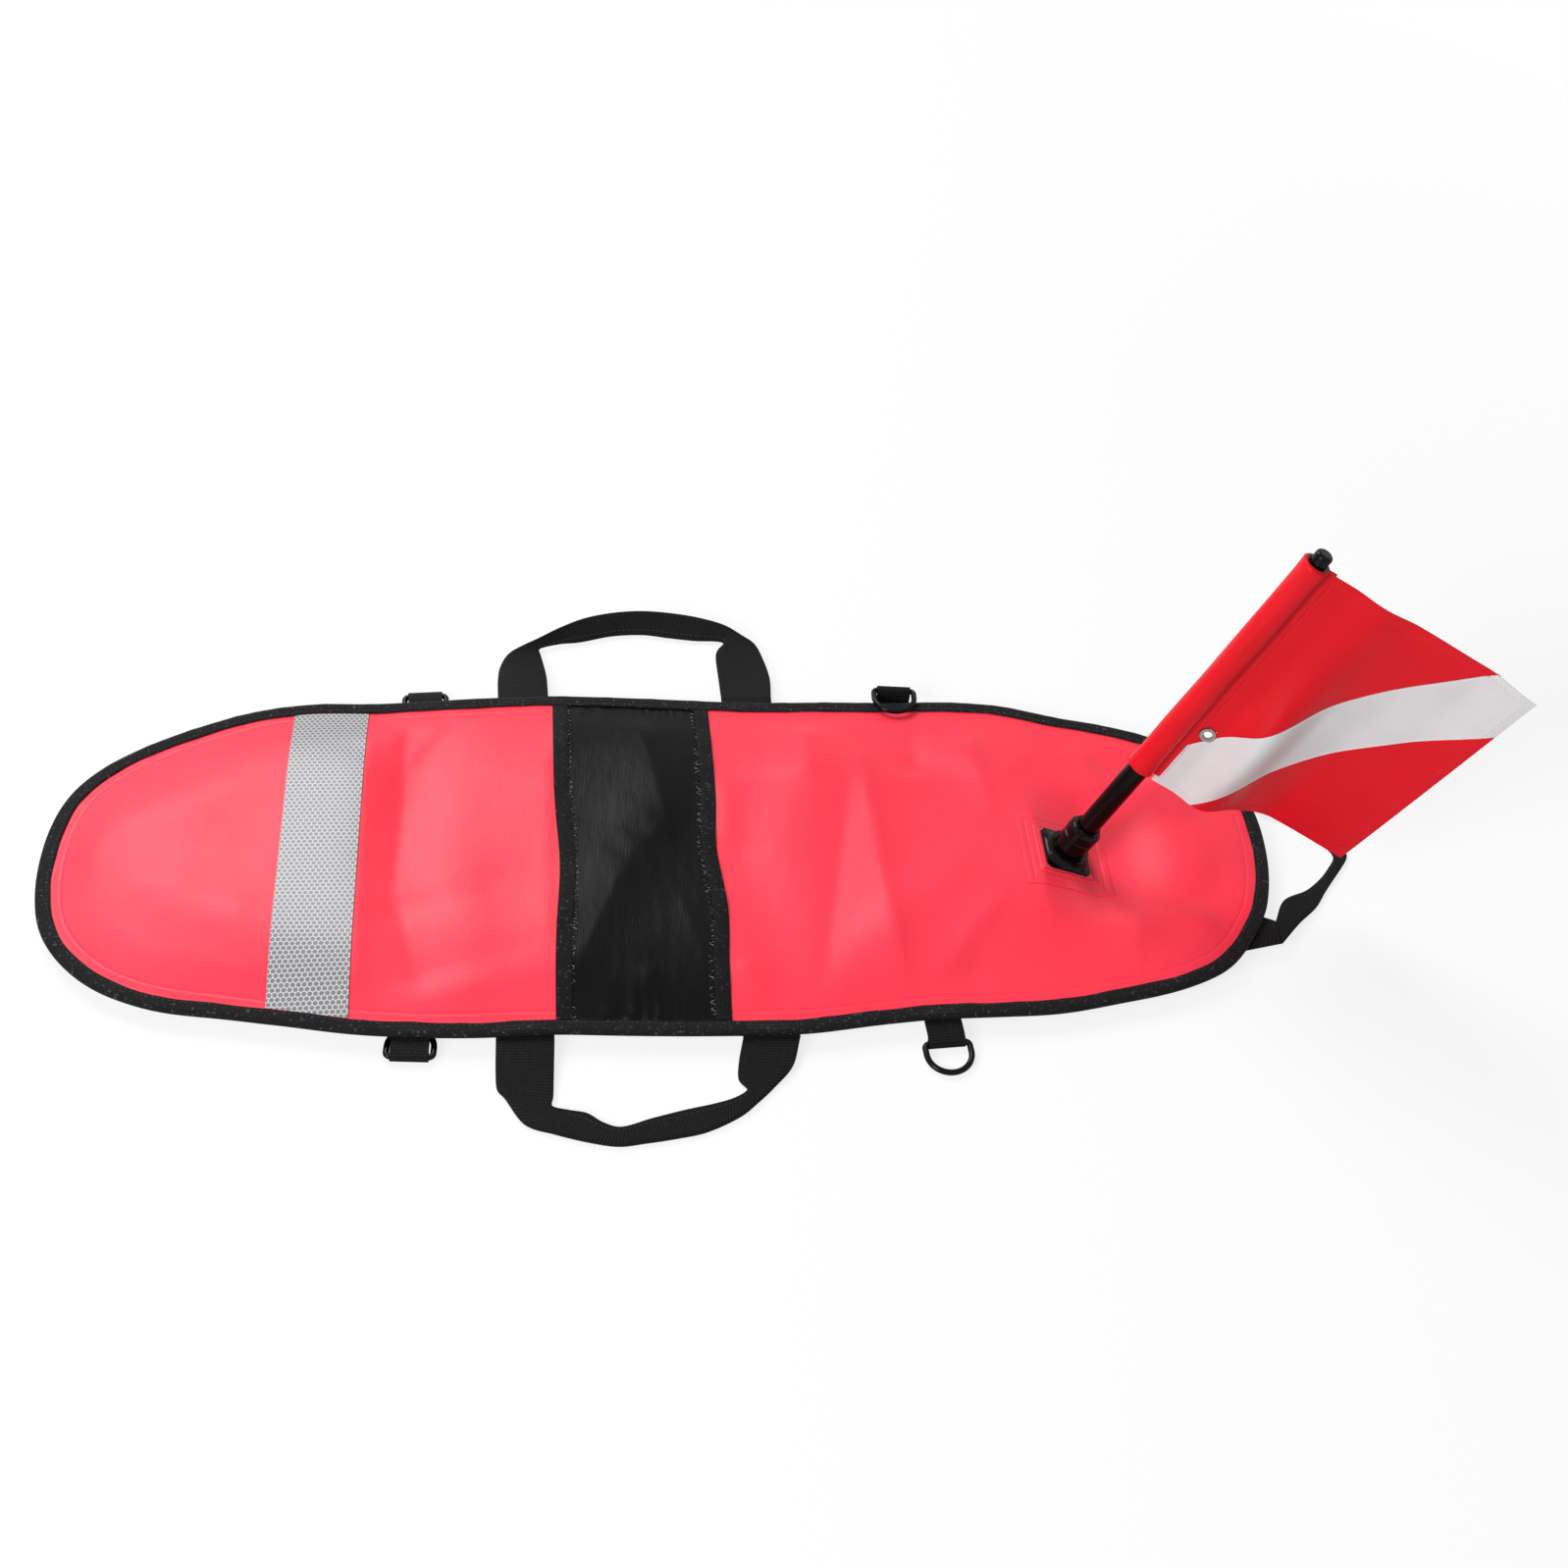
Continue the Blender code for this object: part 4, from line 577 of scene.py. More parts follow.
def edge_wander():
    """How far the slack edge is moved outwards at each point of the outline."""
    stations = np.arange(OUTLINE_POINTS) / OUTLINE_POINTS * len(EDGE_WANDER_MM)
    wander = np.interp(stations, np.arange(len(EDGE_WANDER_MM) + 1), EDGE_WANDER_MM + EDGE_WANDER_MM[:1])
    steps = np.arange(-36, 37)
    weights = np.exp(-((steps / WANDER_REACH) ** 2))
    return sum(np.roll(wander, s) * w for s, w in zip(steps, weights)) / weights.sum() / 1000


OUTLINE = PLAN_EDGE + PLAN_OUTWARD * edge_wander()[:, None]
OUTWARD = outward_normals(OUTLINE)
print("slack edge:", min(EDGE_WANDER_MM), "to", max(EDGE_WANDER_MM), "mm from the plan")


def edge_distance(plan):
    """How far points of a plan lie inside the edge, worked out in parts to spare memory."""
    parts = np.array_split(plan.reshape(-1, 1, 2), max(1, plan.size // 4000))
    return np.concatenate([np.hypot(*np.moveaxis(part - OUTLINE, 2, 0)).min(axis=1)
                           for part in parts]).reshape(plan.shape[:-1])


# %% [markdown]
# **Broad folds.** The nearly empty cover lies in broad folds, which the CAD has too. Each is a smooth
# bump, long in one direction, and their sum lifts or lowers the crown.

# %% Broad folds
# place along and across as shares of the half sizes, heading in degrees, length, width and height shares
FOLD_SHARES = (
    (-0.8, 0.25, 35, 0.22, 0.16, 0.26), (-0.7, -0.35, -30, 0.2, 0.15, 0.22),
    (-0.42, 0.3, 82, 0.16, 0.14, -0.34), (-0.34, -0.35, 96, 0.2, 0.16, 0.24),
    (-0.07, 0.05, 60, 0.22, 0.2, 0.26), (0.14, -0.4, 100, 0.2, 0.16, -0.26),
    (0.22, 0.3, 70, 0.22, 0.18, 0.3), (0.4, -0.3, 45, 0.2, 0.14, 0.28),
    (0.44, 0.45, -40, 0.18, 0.13, -0.22), (0.86, 0.35, -35, 0.14, 0.18, -0.24),
    (0.88, -0.35, 35, 0.14, 0.18, -0.2))
CROWN_RISE = 0.0090


def broad_folds(x, y):
    """Height of the slack fabric's broad folds."""
    total = np.zeros_like(x)
    for along, across, heading, length, width, height in FOLD_SHARES:
        turn = math.radians(heading)
        dx, dy = x - along * HALF_LENGTH, y - across * HALF_WIDTH
        down = dx * math.cos(turn) + dy * math.sin(turn)
        side = dy * math.cos(turn) - dx * math.sin(turn)
        spread = (down / (length * HALF_LENGTH)) ** 2 + (side / (width * HALF_WIDTH)) ** 2
        total += height * CROWN_RISE * np.exp(-spread)
    return total


print("folds:", len(FOLD_SHARES))

# %% [markdown]
# **Creases.** On the folds lie the finer creases of the photograph. A cloth simulation would put them
# where it likes, and here each one has its own place. So it is a line that fades at both ends, with a
# height, and a gentle and a steep side.

# %% Creases
# Each crease in millimetres: from x, y to x, y, height, width towards the nose and towards the tail
CREASES_MM = (
    (-206, 128, -206, -130, 3, 100, 13), (-181, 118, -184, -50, -3.8, 14, 80),
    (-184, -40, -161, -116, -3.2, 16, 75), (-158, 122, -182, 76, 1.6, 22, 9),
    (-190, 112, -192, 90, 0.8, 12, 12), (-84, 100, -86, -100, 1.4, 70, 9),
    (-22, 132, -3, 12, 2.6, 48, 16), (-3, 16, -30, -8, 0.9, 20, 14),
    (-26, -2, -70, -110, 2.2, 34, 22), (-75, 130, -71, 84, 1.5, 6, 26),
    (-18, -100, -34, -144, 1.4, 16, 7), (2, -40, 18, -104, 0.5, 8, 6),
    (-62, 24, -16, 11, -0.5, 4, 5), (38, 60, 36, 0, 2, 12, 20), (40, -96, 52, -128, 1.5, 10, 10),
    (100, 116, 97, 56, 2.5, 42, 12), (126, 64, 90, -124, -3.2, 14, 34),
    (135, 84, 143, -126, 4.8, 46, 13), (177, 112, 172, 62, -2.5, 13, 20),
    (212, 108, 224, 16, 3.7, 40, 12), (238, -22, 156, -124, 3.2, 26, 14),
    (200, -86, 186, -124, -1.4, 12, 16), (295, 96, 304, 42, 2.2, 16, 12),
    (308, -52, 300, -112, 1.9, 24, 12), (350, -52, 370, -102, 2, 26, 10),
    (340, 60, 368, 30, 1, 18, 14), (-300, 60, -330, -60, 0.8, 50, 40),
    (306, 34, 360, 72, 1.5, 9, 16), (310, -44, 366, -78, 1.7, 16, 9), (318, -8, 372, -22, 1.3, 8, 12),
    (226, 48, 262, 96, 0.8, 14, 10), (-284, -40, -268, -118, 1, 34, 12))
CREST_ROUNDING = 0.0018


def fine_creases(x, y):
    """Height of the creases: lines that fade at both ends."""
    total = np.zeros_like(x)
    for line in CREASES_MM:
        x0, y0, x1, y1, height, before, after = (value / 1000 for value in line)
        length = math.hypot(x1 - x0, y1 - y0)
        ux, uy = (x1 - x0) / length, (y1 - y0) / length
        down = ((x - x0) * ux + (y - y0) * uy) / length
        side = ((x - x0) * uy - (y - y0) * ux) * (1 if uy > 0 else -1)
        fade = smooth((down + 0.12) / 0.35) * smooth((1.12 - down) / 0.35)
        away = np.sqrt(side ** 2 + CREST_ROUNDING ** 2) - CREST_ROUNDING
        total += height * fade * np.exp(-away / np.where(side < 0, before, after))
    return total


print("creases:", len(CREASES_MM))

# %% [markdown]
# **Heights.** The cover rises from a sewn edge about 11 mm high to a slack crown. The seat under the mast
# is a tilted plane that fades into it, with a shallow hollow behind, where the mast's weight presses. The
# weld line, a pressed groove, runs about 6 mm inside the binding on the coral fabric.

# %% Heights of the skins
GAP, SKIN, TAPE_THICK = 0.0003, 0.0009, 0.0008
EDGE_LIFT, BINDING_SHOWN = 0.008, 0.010
CLEAR_INSET = BINDING_SHOWN + GAP
LOWER_SKIN_EDGE, MARGIN_TOP, BINDING_TOP = 0.0091, 0.0112, 0.0123
CROWN_RUN, KEEL_RUN, FOLD_FADE = 0.085, 0.042, 0.030
MAST_X, MAST_OFFSET, MAST_TILT = 0.268, -0.00775, math.radians(21.9)
SEAT_HEIGHT, MAST_STACK = 0.0170, 0.0027
SEAT_STRAIGHT, SEAT_LEVEL = 0.0175, 0.0200
SEAT_FLAT, SEAT_FADE, SEAT_ACROSS = 0.030, 0.056, 1.22
HOLLOW_BEHIND, HOLLOW_RADIUS, HOLLOW_DEPTH, HOLLOW_ACROSS = 0.032, 0.054, 0.0062, 0.58
WELD_INSIDE, WELD_WIDTH, WELD_DEPTH, WELD_WANDER = 0.0058, 0.0006, 0.00036, 0.0003


def seat_hold(x, y):
    """How firmly the socket's seat holds the fabric, from 0 to 1."""
    away = (np.abs(x - MAST_X) ** 3 + np.abs((y - MAST_OFFSET) * SEAT_ACROSS) ** 3) ** (1 / 3)
    return 1 - smooth((away - SEAT_FLAT) / SEAT_FADE)


def seat_run(x):
    """Distance along the seat's slope, which levels off softly past the flange."""
    away = np.abs(x - MAST_X)
    room = SEAT_LEVEL - SEAT_STRAIGHT
    past = room * (1 - np.exp(-np.maximum(away - SEAT_STRAIGHT, 0) / room))
    return np.sign(x - MAST_X) * (np.minimum(away, SEAT_STRAIGHT) + past)


def cover_height(plan, welded=False):
    """Top of the upper cover, with the pressed weld line or without it."""
    x, y = plan[..., 0], plan[..., 1]
    inside = edge_distance(plan) - CLEAR_INSET
    crown = 1 - (1 - np.clip(inside / CROWN_RUN, 0, 1)) ** 2
    hollow = np.hypot(x - MAST_X - HOLLOW_BEHIND, (y - MAST_OFFSET) * HOLLOW_ACROSS) / HOLLOW_RADIUS
    slack = broad_folds(x, y) + fine_creases(x, y) - HOLLOW_DEPTH * np.exp(-(hollow ** 2))
    free = MARGIN_TOP + CROWN_RISE * crown + slack * smooth(inside / FOLD_FADE)
    seat = SEAT_HEIGHT - math.tan(MAST_TILT) * seat_run(x) - MAST_STACK
    height = free + (seat - free) * seat_hold(x, y)
    if welded:
        weld = WELD_INSIDE + WELD_WANDER * (np.sin(x * 31) + np.sin(x * 67 + y * 25))
        height = height - WELD_DEPTH * np.exp(-(((inside - weld) / WELD_WIDTH) ** 2))
    return height


def keel_height(plan):
    """Underside of the lower cover: flat on the floor, lifted to the sewn edge."""
    return LOWER_SKIN_EDGE * (1 - smooth((edge_distance(plan) - CLEAR_INSET) / KEEL_RUN))


print("seat top:", SEAT_HEIGHT, "m, crown:", MARGIN_TOP + CROWN_RISE, "m")

# %% [markdown]
# ## Rays from the spine to the edge
# A square grid would be cut raggedly by the curved edge. A grid whose lines run parallel to the edge bends
# cleanly there, where the weld and the binding are. Its rays stand square to the spine along the middle
# and fan out round both ends.

# %% Rays from the spine to the edge
FAR, NEAR = math.pi / 2, -math.pi / 2
EDGE_INSETS = (0.0035, 0.0070, 0.0104, 0.0124, 0.0142, 0.0150, 0.0155, 0.0161, 0.0167, 0.0172,
               0.0180, 0.0198, 0.022, 0.025, 0.028, 0.031, 0.034, 0.037, 0.040, 0.043)
INNER_STEPS = 34


def to_spine(columns, origins, steps):
    """Rays through columns of points, carried on from the innermost to the spine."""
    rays = np.stack(columns, axis=1)
    centre = np.zeros((len(rays), 1, 2))
    centre[:, 0, 0] = origins
    shares = np.linspace(1, 0, steps + 1)[1:, None]
    return np.concatenate([rays, centre + (rays[:, -1:] - centre) * shares], axis=1)


def straight_rays(xs, side, insets=EDGE_INSETS, steps=INNER_STEPS):
    """Plan points square to the spine, one row for each place along it."""
    columns = []
    for inset in insets:
        loop = OUTLINE - OUTWARD * inset
        half = loop[loop[:, 1] * side > 0]
        half = half[np.argsort(half[:, 0])]
        columns.append(np.column_stack([xs, np.interp(xs, half[:, 0], half[:, 1])]))
    return to_spine(columns, xs, steps)


def fan_rays(origin_x, angles, insets=EDGE_INSETS, steps=INNER_STEPS):
    """Plan points along rays that fan out from one point of the spine."""
    columns = []
    for inset in insets:
        loop = OUTLINE - OUTWARD * inset - (origin_x, 0)
        reach = np.interp(angles, np.arctan2(loop[:, 1], loop[:, 0]), np.hypot(*loop.T),
                          period=2 * math.pi)
        columns.append(np.column_stack([origin_x + reach * np.cos(angles), reach * np.sin(angles)]))
    return to_spine(columns, origin_x, steps)


def spaced(start, stop, pitch):
    """Even places from start to stop, about a pitch apart."""
    return np.linspace(start, stop, max(2, int(round(abs(stop - start) / pitch)) + 1))


def lifted(plan, height):
    """Plan points at their heights, or all at one."""
    return np.concatenate([plan, np.broadcast_to(height, plan.shape[:-1])[..., None]], axis=-1)


def plan_area(plan):
    """Area of a grid of plan points."""
    a, b = plan[1:, 1:] - plan[:-1, :-1], plan[1:, :-1] - plan[:-1, 1:]
    return float(np.abs(a[..., 0] * b[..., 1] - a[..., 1] * b[..., 0]).sum() / 2)


print("rays have", len(EDGE_INSETS) + INNER_STEPS, "points each")

# %% [markdown]
# ## Upper cover
# Three panels of one cover: coral fabric at the nose and tail, thin black nylon between them. All three
# share one height, so they meet without a step. The slack black panel pulls its seams a little out of
# line, and small gathers show where it is sewn under the binding.

# %% Nose and tail covers
CELL_PITCH = 0.0030
PANEL_NOSE_X, PANEL_TAIL_X = -0.0795, 0.0310
NOSE_SPINE_X, TAIL_SPINE_X = -0.270, 0.2906
# place along the board and across it, reach each way, and how far the seam drifts there, in metres
SEAM_DRIFTS = ((-0.0745, -0.018, 0.034, 0.045, 0.0036), (0.0260, 0.002, 0.034, 0.028, -0.0024),
               (0.0260, -0.060, 0.034, 0.032, 0.0024))


def drifted(plan):
    """Plan points after the slack panel has pulled its seams a little out of line."""
    moved = plan.copy()
    for along, across, reach_x, reach_y, drift in SEAM_DRIFTS:
        near = ((plan[..., 0] - along) / reach_x) ** 2 + ((plan[..., 1] - across) / reach_y) ** 2
        moved[..., 0] += drift * np.exp(-near)
    return moved


def top_sheet(name, node, slot, look, plan, height, thickness, flat, **more):
    """A sheet of the float's upper side, laid at its height."""
    return onto(cloth(name, lifted(plan, height), thickness, look, uv=more.pop("uv", None)), "float",
                slot, node, flat=flat, held="stretched", **more)


for name, node, seam_x, spine_x, angles, length in (
        ("nose_cover", "nose_skin", PANEL_NOSE_X - GAP / 2, NOSE_SPINE_X,
         np.linspace(FAR, FAR + math.pi, 150), 0.336),
        ("tail_cover", "tail_skin", PANEL_TAIL_X + GAP / 2, TAIL_SPINE_X,
         np.linspace(FAR, NEAR, 130), 0.384)):
    xs = spaced(seam_x, spine_x, CELL_PITCH)
    plan = drifted(np.concatenate([straight_rays(xs, 1), fan_rays(spine_x, angles[1:-1]),
                                   straight_rays(xs[::-1], -1)]))
    cover = top_sheet(name, node, "coral_fabric", CORAL, plan, cover_height(plan, True), SKIN,
                      (0.298, length), area=plan_area(plan))
    print(name + ":", len(cover.data.polygons), "faces")


# %% [markdown]
# **Panel, seam tapes and band.** These four cross the board from edge to edge, so one function lays their
# rows. The tapes and the band lie on the cover's own height, a film's thickness above it, as sewn and
# glued strips do, and take every fold with it.

# %% Black panel, seam tapes and reflective band
BAND_NOSE_X, BAND_TAIL_X, BAND_THICK = -0.2590, -0.2082, 0.0005
SEAM_WIDTH, SEAM_RAISED, SEAM_CURL = 0.0100, 0.0003, 0.00025
PUCKER_DEPTH, PUCKER_REACH = 0.0011, 0.018
PANEL_INSETS = EDGE_INSETS[:4] + (0.0145, 0.0167, 0.0190, 0.0215, 0.024, 0.027, 0.030, 0.034, 0.038,
                                  0.043)


def crossing(start_x, stop_x, pitch, insets=EDGE_INSETS[2:]):
    """Plan points of a strip that crosses the board from edge to edge."""
    xs = spaced(start_x, stop_x, pitch)
    far, near = (straight_rays(xs, side, insets) for side in (1, -1))
    return drifted(np.concatenate([far[:, :-1], near[:, ::-1]], axis=1))


def puckers(plan):
    """Small gathers where the thin panel is sewn under the binding."""
    x, y = plan[..., 0], plan[..., 1]
    inside = np.clip(edge_distance(plan) - CLEAR_INSET, 0, None)
    edge_fade = smooth(inside / 0.004) * np.exp(-inside / PUCKER_REACH * 2)
    sides = smooth((x - PANEL_NOSE_X) / 0.02) * smooth((PANEL_TAIL_X - x) / 0.02)
    ripple = np.sin(x * 610 + 11 * np.sin(x * 47 + y)) + 0.8 * np.sin(x * 353 + y * 60 + 1.7)
    uneven = 0.55 + 0.45 * np.sin(x * 97 + np.sign(y) * 1.9)
    return PUCKER_DEPTH * ripple * uneven * edge_fade * sides


plan = crossing(PANEL_NOSE_X + GAP / 2, PANEL_TAIL_X - GAP / 2, 0.0016, PANEL_INSETS)
top_sheet("centre_cover", "centre_panel", "black_nylon", NYLON, plan, cover_height(plan) + puckers(plan),
          SKIN * 0.7, (PANEL_TAIL_X - PANEL_NOSE_X, 0.291))
for name, node, start_x in (("nose_tape", "nose_seam", PANEL_NOSE_X + GAP / 2),
                            ("tail_tape", "tail_seam", PANEL_TAIL_X - GAP / 2 - SEAM_WIDTH)):
    plan = crossing(start_x, start_x + SEAM_WIDTH, 0.0014)
    y = plan[..., 1]
    wobble = 0.00025 * np.sin(y * 95) + 0.0002 * np.sin(y * 211 + start_x * 300)
    curl = SEAM_CURL * np.linspace(-1, 1, len(plan))[:, None] ** 4
    top_sheet(name, node, "black_webbing", SEAM_TAPE, plan,
              cover_height(plan) + GAP + TAPE_THICK + SEAM_RAISED + wobble - curl, TAPE_THICK,
              (SEAM_WIDTH, 0.279), uv=plan[..., ::-1])
plan = crossing(BAND_NOSE_X, BAND_TAIL_X, 0.0028)
band = top_sheet("honeycomb_band", "reflective_band", "reflective_tape", TAPE, plan,
                 cover_height(plan) + GAP + BAND_THICK, BAND_THICK, (0.0508, 0.262))
print("band:", len(band.data.polygons), "faces")

# %% [markdown]
# ## Under cover and bladder
# The under cover lies flat on the floor and curves up to the sewn edge. A boolean cuts the valve's hole.
# The bladder is a closed bag of milky film inside, never seen but there, so it has few faces.

# %% Under cover and bladder
VALVE_X, VALVE_HOLE, BLADDER_HOLE = 0.150, 0.010, 0.0088
BAG_BELOW, BAG_ABOVE, BAG_TOP, BAG_LEAST = 0.0006, 0.0035, 0.040, 0.0018
KEEL_INSETS = (0.0035, 0.0070, 0.0104, 0.0135, 0.017, 0.021, 0.025, 0.030, 0.035, 0.040, 0.046, 0.0523)


def round_rays(insets, pitch, steps):
    """Rays all the way round the board, from the tail's spine point and back."""
    middle = spaced(TAIL_SPINE_X, NOSE_SPINE_X, pitch)
    nose = np.linspace(FAR, FAR + math.pi, int(0.46 / pitch))[1:-1]
    tail = np.linspace(NEAR, FAR, int(0.40 / pitch))[1:-1]
    return np.concatenate([
        straight_rays(middle, 1, insets, steps), fan_rays(NOSE_SPINE_X, nose, insets, steps),
        straight_rays(middle[::-1], -1, insets, steps), fan_rays(TAIL_SPINE_X, tail, insets, steps)])


def drill(piece, z, radius, depth):
    """Cut the valve's round hole straight up through a piece."""
    select_only()
    bpy.ops.mesh.primitive_cylinder_add(vertices=64, radius=radius, depth=depth, location=(VALVE_X, 0, z))
    drill_bit = bpy.context.object
    hole = piece.modifiers.new("hole", "BOOLEAN")
    hole.operation, hole.object = "DIFFERENCE", drill_bit
    apply(piece, hole)
    bpy.data.objects.remove(drill_bit, do_unlink=True)


plan = round_rays(KEEL_INSETS, 0.006, 8)
under_cover = cloth("under_cover", lifted(plan, keel_height(plan)), SKIN, CORAL, wrap_rows=True,
                    up=(0, 0, -1))
drill(under_cover, 0, VALVE_HOLE, 0.006)
onto(under_cover, "float", "coral_fabric", "bottom_skin", flat=(0.298, 0.830), held="stretched",
     area=plan_area(plan))

plan = round_rays((0.026, 0.033, 0.045, 0.060), 0.014, 4)
base = keel_height(plan) + SKIN + BAG_BELOW
ceiling = np.maximum(np.minimum(cover_height(plan) - SKIN - BAG_ABOVE, BAG_TOP), base + BAG_LEAST)
mesh = bmesh.new()
both = np.concatenate([lifted(plan, base)[:, ::-1], lifted(plan, ceiling)], axis=1)
lay_quads(mesh, both, wrap_rows=True)
bmesh.ops.remove_doubles(mesh, verts=mesh.verts, dist=MERGE)
bmesh.ops.recalc_face_normals(mesh, faces=mesh.faces)
bladder = onto(show("bladder", mesh, FILM), "float", "bladder_film", "air_bladder")
drill(bladder, 0.0015, BLADDER_HOLE, 0.005)
print("under cover:", len(under_cover.data.polygons), "faces")


# %% [markdown]
# ## Stitches
# One stitch is a small sphere stretched to a grain of thread. It is modelled once, and its points are
# copied along each seam, turned to the seam's heading and half sunk in the cloth. A bump would look flat
# from the side, and an object for each stitch would be slow.

# %% Stitches
select_only()
bpy.ops.mesh.primitive_uv_sphere_add(segments=6, ring_count=5, radius=1.0, rotation=(0, math.pi / 2, 0))
grain = bpy.context.object
grain.data.transform(grain.matrix_world)
GRAIN_POINTS = np.array([vertex.co[:] for vertex in grain.data.vertices])
GRAIN_FACES = [tuple(face.vertices) for face in grain.data.polygons]
bpy.data.objects.remove(grain, do_unlink=True)


def sew(name, rows, ups, radius, look, body="float", slot="black_webbing"):
    """Grains of thread on the cloth; each row is the starts and the ends of its stitches."""
    starts, ends = (np.concatenate(values) for values in zip(*rows))
    along = unit(ends - starts)
    across = unit(np.cross(ups, along))
    half = np.linalg.norm(ends - starts, axis=1)[:, None] / 2
    axes = np.stack([half * along, radius * across, radius * np.cross(along, across)], axis=1)
    points = ((starts + ends) / 2)[:, None] + GRAIN_POINTS @ axes
    count = len(GRAIN_POINTS)
    faces = [tuple(v + i * count for v in face) for i in range(len(starts)) for face in GRAIN_FACES]
    data = bpy.data.meshes.new(name)
    data.from_pydata(points.reshape(-1, 3).tolist(), [], faces)
    data.materials.append(look)
    data.shade_smooth()
    print(name + ":", len(starts), "stitches")
    return onto(in_scene(name, data), body, slot)


def even_points(path, pitch):
    """Points along a path, a pitch apart."""
    length = run_along(path)
    stops = np.arange(0, length[-1], pitch)
    return np.column_stack([np.interp(stops, length, column) for column in path.T])


def running(path, pitch, length):
    """Starts and ends of a straight running stitch along a path."""
    points = even_points(path, pitch)
    return points[:-1], points[:-1] + unit(np.diff(points, axis=0)) * length


def side_to_side(points, sideways, width):
    """Points moved by turns to one side and to the other."""
    return points + sideways * np.where(np.arange(len(points)) % 2 == 0, width / 2, -width / 2)[:, None]


def zigzag(path, sideways, pitch, width):
    """Starts and ends of a zigzag stitch along a path."""
    points = side_to_side(even_points(path, pitch), np.array(sideways), width)
    return points[:-1], points[1:]


# %% [markdown]
# ## Binding
# Woven tape folded round the sewn edge: a lying U in section, softly rounded, carried round the board.
# A slow wander of its inner lip keeps it from looking machined. Its stitches run 2 mm from that lip.

# %% Binding
UP = (0.0, 0.0, 1.0)
FINE_THREAD, BINDING_THREAD = 0.00022, 0.00030
STATION_STEP = 2
STITCH_PITCH, STITCH_LENGTH, SEAM_INSET, STITCH_RISE = 0.0036, 0.0026, 0.0078, 0.00022
edge, outward = OUTLINE[::STATION_STEP], OUTWARD[::STATION_STEP]
edge_run = np.arange(0, OUTLINE_POINTS, STATION_STEP) / OUTLINE_POINTS * 2 * math.pi
lip_wander = 0.00022 * np.sin(edge_run * 29) + 0.00012 * np.sin(edge_run * 61 + 1.3)
top_wander = 0.00018 * np.sin(edge_run * 61 + 2.0) + 0.00012 * np.sin(edge_run * 127)
z0, z1, tape, lip = EDGE_LIFT, BINDING_TOP, TAPE_THICK, BINDING_SHOWN - GAP
# inset from the edge, height, how far the point follows the lip's wander, and the top's
BINDING_SECTION = (
    (lip, z0, 1, 0), (0.0060, z0 - 0.0001, 0, 0), (0.0022, z0, 0, 0), (0.0009, z0 + 0.0003, 0, 0),
    (0.0002, z0 + 0.0010, 0, 0), (0, (z0 + z1) / 2, 0, 0), (0.0002, z1 - 0.0010, 0, 0),
    (0.0009, z1 - 0.0003, 0, 1), (0.0022, z1 + 0.0002, 0, 1), (0.0050, z1 + 0.0004, 0, 1),
    (0.0075, z1 + 0.0001, 1, 1), (0.0088, z1 + 0.0002, 1, 1), (lip - 0.0002, z1 + 0.00005, 1, 1),
    (lip + 0.0001, z1 - 0.0003, 1, 0), (lip, z1 - tape, 1, 0), (0.0060, z1 - tape, 0, 0),
    (tape, z1 - tape, 0, 0), (tape, z0 + tape, 0, 0), (0.0060, z0 + tape, 0, 0), (lip, z0 + tape, 1, 0))
sections = [lifted(edge - outward * (inset + lip_wander * follows_lip)[:, None],
                   height + top_wander * follows_top)
            for inset, height, follows_lip, follows_top in BINDING_SECTION]
onto(swept("binding", np.stack(sections, axis=1), BINDING, closed=True), "float", "black_webbing",
     "edge_binding", flat=(0.0245, EDGE_LENGTH), held="folded")
seam = lifted(edge - outward * (SEAM_INSET + lip_wander)[:, None], BINDING_TOP + STITCH_RISE + top_wander)
sew("binding_stitches", [running(np.vstack([seam, seam[:1]]), STITCH_PITCH, STITCH_LENGTH)], UP,
    BINDING_THREAD, THREAD)

# %% [markdown]
# ## Seam stitches and bar tacks
# An overlock stitch shows as a ragged zigzag on the panel's side of each seam tape. Bar tacks are short
# dense zigzags where a strap or tab is caught under the binding. Both are the same grains of thread.

# %% Seam stitches and bar tacks
HANDLE_X, HANDLE_HALF_SPAN = -0.020, 0.0985
NOSE_RING_X, TAIL_RING_X = -0.169, 0.167
OVERLOCK_OUT, OVERLOCK_RISE, TACK_RISE = 0.0009, 0.0004, 0.0004
rows = []
for seam_x in (PANEL_NOSE_X + SEAM_WIDTH + OVERLOCK_OUT, PANEL_TAIL_X - SEAM_WIDTH - OVERLOCK_OUT):
    ys = np.linspace(0.1375, -0.1375, 400)
    plan = drifted(np.column_stack([seam_x + 0.0006 * np.sin(ys * 73), ys]))
    line = lifted(plan, cover_height(plan) + puckers(plan) + OVERLOCK_RISE)
    rows.append(zigzag(line, (1, 0, 0), 0.0024, 0.0044))
# the overlock's thread carries painted glints of light as pale grey specks
sew("seam_stitches", rows, UP, FINE_THREAD, GLINT_PAINTED_THREAD)

rows = []
for side in (-1, 1):
    for middle, half in ((HANDLE_X - 0.079, 0.017), (HANDLE_X + 0.077, 0.017), (NOSE_RING_X, 0.0115),
                         (TAIL_RING_X, 0.0115)):
        for inset in (0.0032, 0.0058):
            plan = straight_rays(np.linspace(middle - half, middle + half, 40), side, (inset,), 0)[:, 0]
            rows.append(zigzag(lifted(plan, BINDING_TOP + TACK_RISE), (0, 1, 0), 0.0011, 0.0020))
sew("bar_tacks", rows, UP, FINE_THREAD, THREAD)


